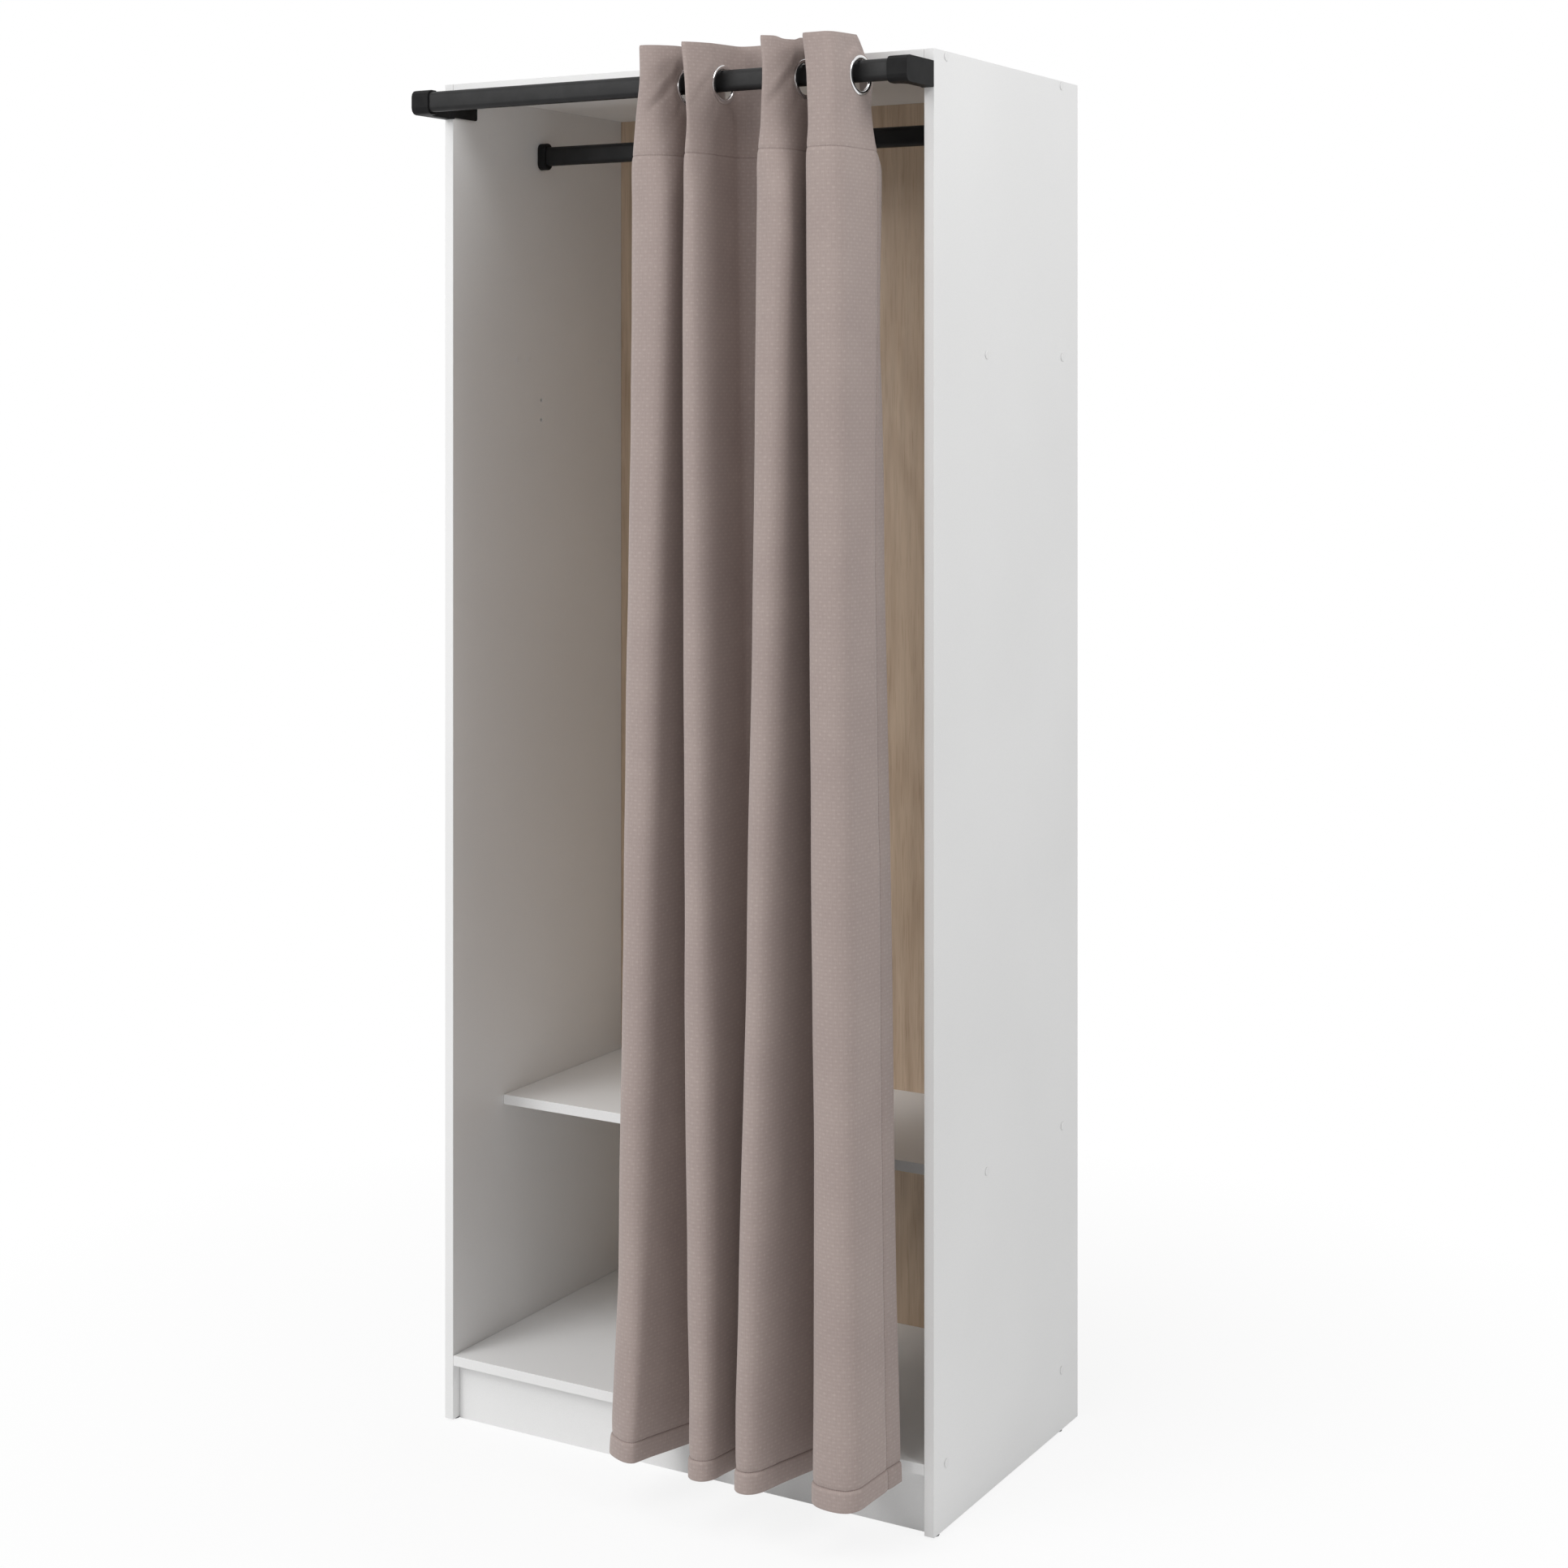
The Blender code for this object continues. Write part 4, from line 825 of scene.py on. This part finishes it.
def flap_points(line, from_edge):
    """Points of a flap at their distances from its free edge, with the hem kept true."""
    length = np.linalg.norm(np.diff(line, axis=0), axis=1).sum()
    hem = HEM_COLUMNS[-1]
    rest = hem + (from_edge - hem) * (length - hem) / (FLAP_FLAT - hem)
    return along_line(line, np.where(from_edge > hem, rest, from_edge) / length)


def smooth(share):
    """An even rise from 0 to 1 that starts and ends gently."""
    share = np.clip(share, 0.0, 1.0)
    return share ** 2 * (3 - 2 * share)


def hump(off, width, power=2):
    """1 where off is 0, falling to 0 on both sides."""
    return np.exp(-(off / width) ** power)


def facing_of(grid):
    """Unit normals of a grid of points, towards the front of the cloth."""
    across, down = np.gradient(grid, axis=1), np.gradient(grid, axis=0)
    normal = np.cross(down, across)
    return normal / np.linalg.norm(normal, axis=2)[:, :, None]


heights = cloth_rows()
flap_steps = np.concatenate((HEM_COLUMNS, np.arange(0.032, 0.066, 0.0035), (FLAP_FLAT,)))
flap_shares = flap_steps / FLAP_FLAT
shares = [flap_shares] + [np.linspace(0.0, 1.0, LOOP_STEPS + 1)] * 7 + [1.0 - flap_shares[::-1]]
front_x = np.array([eased(values, heights) for values in FRONTS])
back_x = np.array([eased(values, heights) for values in BACKS])
left_edge_x = eased(LEFT_EDGE, heights)
flap_levels = [row[0] for row in RIGHT_FLAP]
seam_y = eased([row[1] for row in RIGHT_FLAP], heights, flap_levels)
flap_places = [[(*row[2], *row[3])[axis] for row in RIGHT_FLAP] for axis in range(4)]
flap_places = np.array([eased(values, heights, flap_levels) for values in flap_places]).T
flap_bend, flap_edge = flap_places[:, :2], flap_places[:, 2:]
upward = np.interp(heights, HEADING_BAND, (0.0, 1.0))
downward = np.interp(heights, HEM_BAND, (1.0, 0.0))
crest_y = np.array([drift(CRESTS[flank // 2], heights) for flank in range(8)])
crest_y += np.outer(HEADING_SLANTS, upward) + np.outer(HEM_SLANTS, downward)
valley_y = np.array([drift(ends, heights) for ends in VALLEYS])
plan, flat_lengths = [], []
for row in range(len(heights)):
    tops = [np.array((front_x[flank, row], crest_y[flank, row])) for flank in range(8)]
    depth = [EDGE_Y, *np.repeat(valley_y[:, row], 2)]
    lows = [np.array((back_x[flank, row], depth[flank])) for flank in range(7)] + [flap_bend[row]]
    knees = along_flank(tops[0], lows[0], KNEE_Y), flap_bend[row]
    edges = np.array((left_edge_x[row], EDGE_Y)), flap_edge[row]
    runs = BEND_RUN + (np.array(HEM_RUNS) - BEND_RUN) * downward[row]
    seam_ys = [-RAIL_REACH] * 7 + [seam_y[row]]
    lines = plan_of_row(tops, lows, knees, edges, seam_ys, upward[row], runs)
    read = [flap_points(lines[0], flap_steps)]
    read += [along_line(line, share) for line, share in zip(lines[1:8], shares[1:8])]
    read.append(flap_points(lines[8][::-1], flap_steps))
    read[8] = read[8][0][::-1], read[8][1]
    plan.append(np.vstack([read[0][0]] + [points[1:] for points, _ in read[1:]]))
    flat_lengths.append([length for _, length in read])
flat_lengths = np.mean(flat_lengths, axis=0)
seam_columns = np.cumsum([len(share) - 1 for share in shares])[:-1]
starts = np.concatenate(((0.0,), np.cumsum(flat_lengths)))
across = np.concatenate([starts[i] + share[min(i, 1):] * flat_lengths[i] for i, share in enumerate(shares)])
flat_x, flat_z = np.meshgrid(across, heights)
from_edge = np.minimum(flat_x, across[-1] - flat_x)
grid = np.dstack((np.array(plan), flat_z))

# Each eyelet holds the cloth round it flat.
foot = np.array((0.0, CARCASS_FRONT, CARCASS_FOOT))
for number, (column, place) in enumerate(zip(seam_columns, eyelet_places)):
    outward = np.array((math.cos(EYELET_TURN) * (1 if number % 2 else -1), -math.sin(EYELET_TURN), 0.0))
    leg = grid - (np.array(place) - foot)
    held = np.clip((HELD_REACH - np.linalg.norm(leg, axis=2)) / HELD_FADE, 0.0, 1.0)
    held *= np.abs(flat_x - across[column]) < HELD_ACROSS
    if number == 7:
        flat_reach = np.hypot(flat_x - across[column], flat_z - (place.z - CARCASS_FOOT))
        on_flap = np.clip((FLAP_REACH - flat_reach) / FLAP_FADE, 0.0, 1.0)
        held *= np.where(flat_x > across[column], on_flap, 1.0)
    grid -= (leg @ outward * smooth(held))[:, :, None] * outward

# The top edge dips a little where the folds come forward, and most at the right
# of the third crest.
rise = np.clip((grid[:, :, 2] - DIP_FROM) / (CLOTH_TOP - DIP_FROM), 0.0, 1.0)
grid[:, :, 2] -= TOP_DIP * np.clip(-grid[:, :, 1] / CREST_REACH, 0.0, 1.0) * rise
grid[:, :, 2] -= THIRD_DIP * hump(flat_x - across[seam_columns[5]] + 0.038, 0.020, 4) * rise


def rolling(scale_x, scale_z, seed):
    """A smooth wander between -1 and 1 over the flat cloth."""
    spots = np.stack((flat_x * scale_x, flat_z * scale_z), axis=2).reshape(-1, 2)
    values = [noise.noise(Vector((x, z, seed))) for x, z in spots]
    return np.array(values).reshape(flat_x.shape)


calm = np.ones_like(flat_x)
pinches = np.zeros_like(flat_x)
holes = np.ones_like(flat_x)
for column, place in zip(seam_columns, eyelet_places):
    centre = np.array(place) - foot
    dx, dz = flat_x - across[column], flat_z - centre[2]
    reach = np.hypot(dx, dz)
    holes = np.minimum(holes, reach)
    calm *= smooth((reach - STILL_REACH) / 0.035)
    angle = np.arctan2(dx, -dz)
    fade = np.exp(-np.maximum(reach - STILL_REACH, 0.0) / 0.045)
    fade *= np.clip((reach - 0.028) / 0.012, 0.0, 1.0)
    for lean, depth in PINCHES:
        pinches -= depth * fade * hump(angle - lean, 0.13)
        pinches += 0.5 * depth * fade * hump(angle - lean * 0.72, 0.2)

# The weight of the cloth drags a soft crease from each right eyelet to its crest.
for number, depth in DRAGS:
    inward = across[seam_columns[number - 1]] - flat_x
    fall = DRAG_FALL * np.clip((inward - DRAG_START) / DRAG_RUN, 0.0, 1.0)
    off = flat_z - (eyelet_places[number - 1].z - CARCASS_FOOT) - DRAG_ABOVE + fall
    ends = np.clip((inward - 0.020) / 0.016, 0.0, 1.0) * np.clip((0.084 - inward) / 0.03, 0.0, 1.0)
    pinches -= depth * ends * hump(off, 0.008)
    pinches += 0.6 * depth * ends * hump(off - 0.016, 0.010)

# The cloth wanders, more so lower down and on the crests. It puckers along the
# stitches, which sink in, and the hem stands out below its own.
slack = np.clip((1.92 - flat_z) / 1.2, 0.0, 1.0)
forward = 0.35 + 0.65 * np.clip(-grid[:, :, 1] / CREST_REACH, 0.0, 1.0)
lift = np.zeros_like(flat_x)
for depth, further, scale_x, scale_z, seed in WANDERS:
    lift += (depth + further * slack) * forward * rolling(scale_x, scale_z, seed)
lift += 0.0011 * hump(flat_z - HEM_STITCH, 0.016) * rolling(62.0, 20.0, 2.3)
below = HEM_STITCH - flat_z
lip = np.exp(-np.abs(below) / np.where(below < 0.0, 0.009, 0.0016))
lip = np.where(below < 0.0, -0.0024 * lip, 0.0014 - 0.0038 * lip)
lift += lip * (0.8 + 0.9 * rolling(9.0, 0.0, 3.1))
lift += 0.0006 * hump(flat_z - HEADING_STITCH, 0.02) * rolling(48.0, 16.0, 6.1)
lift -= 0.0005 * hump(flat_z - HEADING_STITCH, 0.004)
lift += 0.0010 * hump(from_edge - SIDE_HEM, 0.012) * rolling(30.0, 34.0, 8.9)
lift -= 0.0014 * hump(from_edge - SIDE_HEM, 0.004)
grid += facing_of(grid) * (lift * calm + pinches)[:, :, None]
near_hem = np.clip(1.0 - (flat_z - HEM_END) / 0.03, 0.0, 1.0)
grid[:, :, 2] += HEM_WAVE * near_hem * rolling(14.0, 3.0, 5.5)

# The right side hem has shrunk a little and draws the lower corner up.
near_corner = np.clip(1.0 - (across[-1] - flat_x) / CORNER_WIDTH, 0.0, 1.0)
grid[:, :, 2] += CORNER_RISE * (near_corner * np.exp(-(flat_z - HEM_END) / CORNER_HEIGHT))

# Cloth is left out inside the eyelets, and the rim of each hole is made round.
open_points = holes < HOLE_RADIUS - 0.0005
kept = ~(open_points[:-1, :-1] | open_points[1:, :-1] | open_points[:-1, 1:] | open_points[1:, 1:])
for column, place in zip(seam_columns, eyelet_places):
    centre = np.array(place) - foot
    for row in np.nonzero(np.abs(heights - centre[2]) < 0.03)[0]:
        for spot in range(column - 9, column + 10):
            cells = kept[row - 1:row + 1, spot - 1:spot + 1]
            if cells.any() and not cells.all():
                leg = grid[row, spot] - centre
                grid[row, spot] = centre + leg * HOLE_RADIUS / np.linalg.norm(leg)

# Two skins: the front one dips along each stitch, and the back one steps out over
# the heading and the hems, where the cloth is doubled.
into_hems = np.stack((flat_z - HEADING_STITCH, HEM_STITCH - flat_z, SIDE_HEM - from_edge))
stitches = hump(into_hems, STITCH_DIP).max(axis=0)
doubled = np.clip(into_hems / HEM_STEP, -1, 1).max(axis=0) / 2 + 0.5
edge_round = np.ones_like(flat_x)
edge_round[[0, -1], :] = 0.3
edge_round[:, [0, -1]] = 0.3
facing = facing_of(grid)
front_skin = grid + facing * (edge_round * CLOTH_FACE - 0.0005 * stitches)[:, :, None] + foot
back_skin = grid - facing * (edge_round * CLOTH_FACE * doubled)[:, :, None] + foot
front_facing, back_facing = facing_of(front_skin), -facing_of(back_skin)


def both_skins(front, back, span):
    """What the two skins hold over a span of columns, as one list."""
    return np.vstack([skin[:, span].reshape(-1, skin.shape[2]) for skin in (front, back)])


def cloth_length(name, first, last):
    """One length of the two skins, between two columns, closed round every rim."""
    span = slice(first, last + 1)
    width = last + 1 - first
    number = np.arange(len(heights) * width).reshape(-1, width)
    rows, columns = np.nonzero(kept[:, first:last])
    turn = ((0, 0), (1, 0), (1, 1), (0, 1))
    faces = np.stack([number[rows + down, columns + right] for down, right in turn], axis=1)
    edges = {(a, b) for face in faces.tolist() for a, b in zip(face, face[1:] + face[:1])}
    behind = number.size
    rims = [(b, a, a + behind, b + behind) for a, b in edges if (b, a) not in edges]
    every = np.vstack((faces, faces[:, ::-1] + behind, np.array(sorted(rims))))
    used, packed = np.unique(every, return_inverse=True)
    points = both_skins(front_skin, back_skin, span)[used]
    normals = both_skins(front_facing, back_facing, span)[used]
    maps = {"cloth": np.dstack((flat_x, flat_z)), "hems": np.dstack((from_edge, flat_z))}
    packed = packed.reshape(every.shape)
    piece = new_piece(name, points.tolist(), packed.tolist(), taupe_cloth)
    for label, flat in maps.items():
        spots = both_skins(flat, flat, span)[used][packed.reshape(-1)]
        piece.data.uv_layers.new(name=label).data.foreach_set("uv", spots.astype(np.float32).reshape(-1))
    piece.data.normals_split_custom_set_from_vertices(normals.tolist())
    return piece


def stretch_between(piece, number, first, last):
    """Find the tilt with the most room between the cloth at one eyelet and at the next, then bake the
    length's transform.
    """
    held = []
    third = LOOP_STEPS // 3
    starts = (first, slice(first, first + third), eyelet_places[number - 1])
    finishes = (last, slice(last + 1 - third, last + 1), eyelet_places[number])
    for column, span, place in (starts, finishes):
        skins = [skin[:, span].reshape(-1, 3) for skin in (front_skin, back_skin)]
        near = [skin[np.linalg.norm(skin - np.array(place), axis=1) < STILL_REACH] for skin in skins]
        held.append(np.vstack([front_skin[:, column], back_skin[:, column], *near]))
    best = None
    for tilt in np.linspace(-0.06, 0.06, 241):
        way = np.array((1.0, 0.0, tilt))
        low, high = (held[0] @ way).max(), (held[1] @ way).min()
        room = (high - low) / np.linalg.norm(way)
        if best is None or room > best[0]:
            best = (room, low, high, way)
    _, low, high, way = best
    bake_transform(piece)


columns = [0, *seam_columns.tolist(), len(across) - 1]
for number, (first, last) in enumerate(zip(columns, columns[1:])):
    piece = cloth_length(f"curtain_length_{number + 1}", first, last)
    if number in (0, 8):
        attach(piece, f"runner_{max(number, 1)}")
    else:
        stretch_between(piece, number, first, last)
    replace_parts(piece, *[f"curtain_fold_{k}" for k in (number, number + 1) if 1 <= k <= 8])
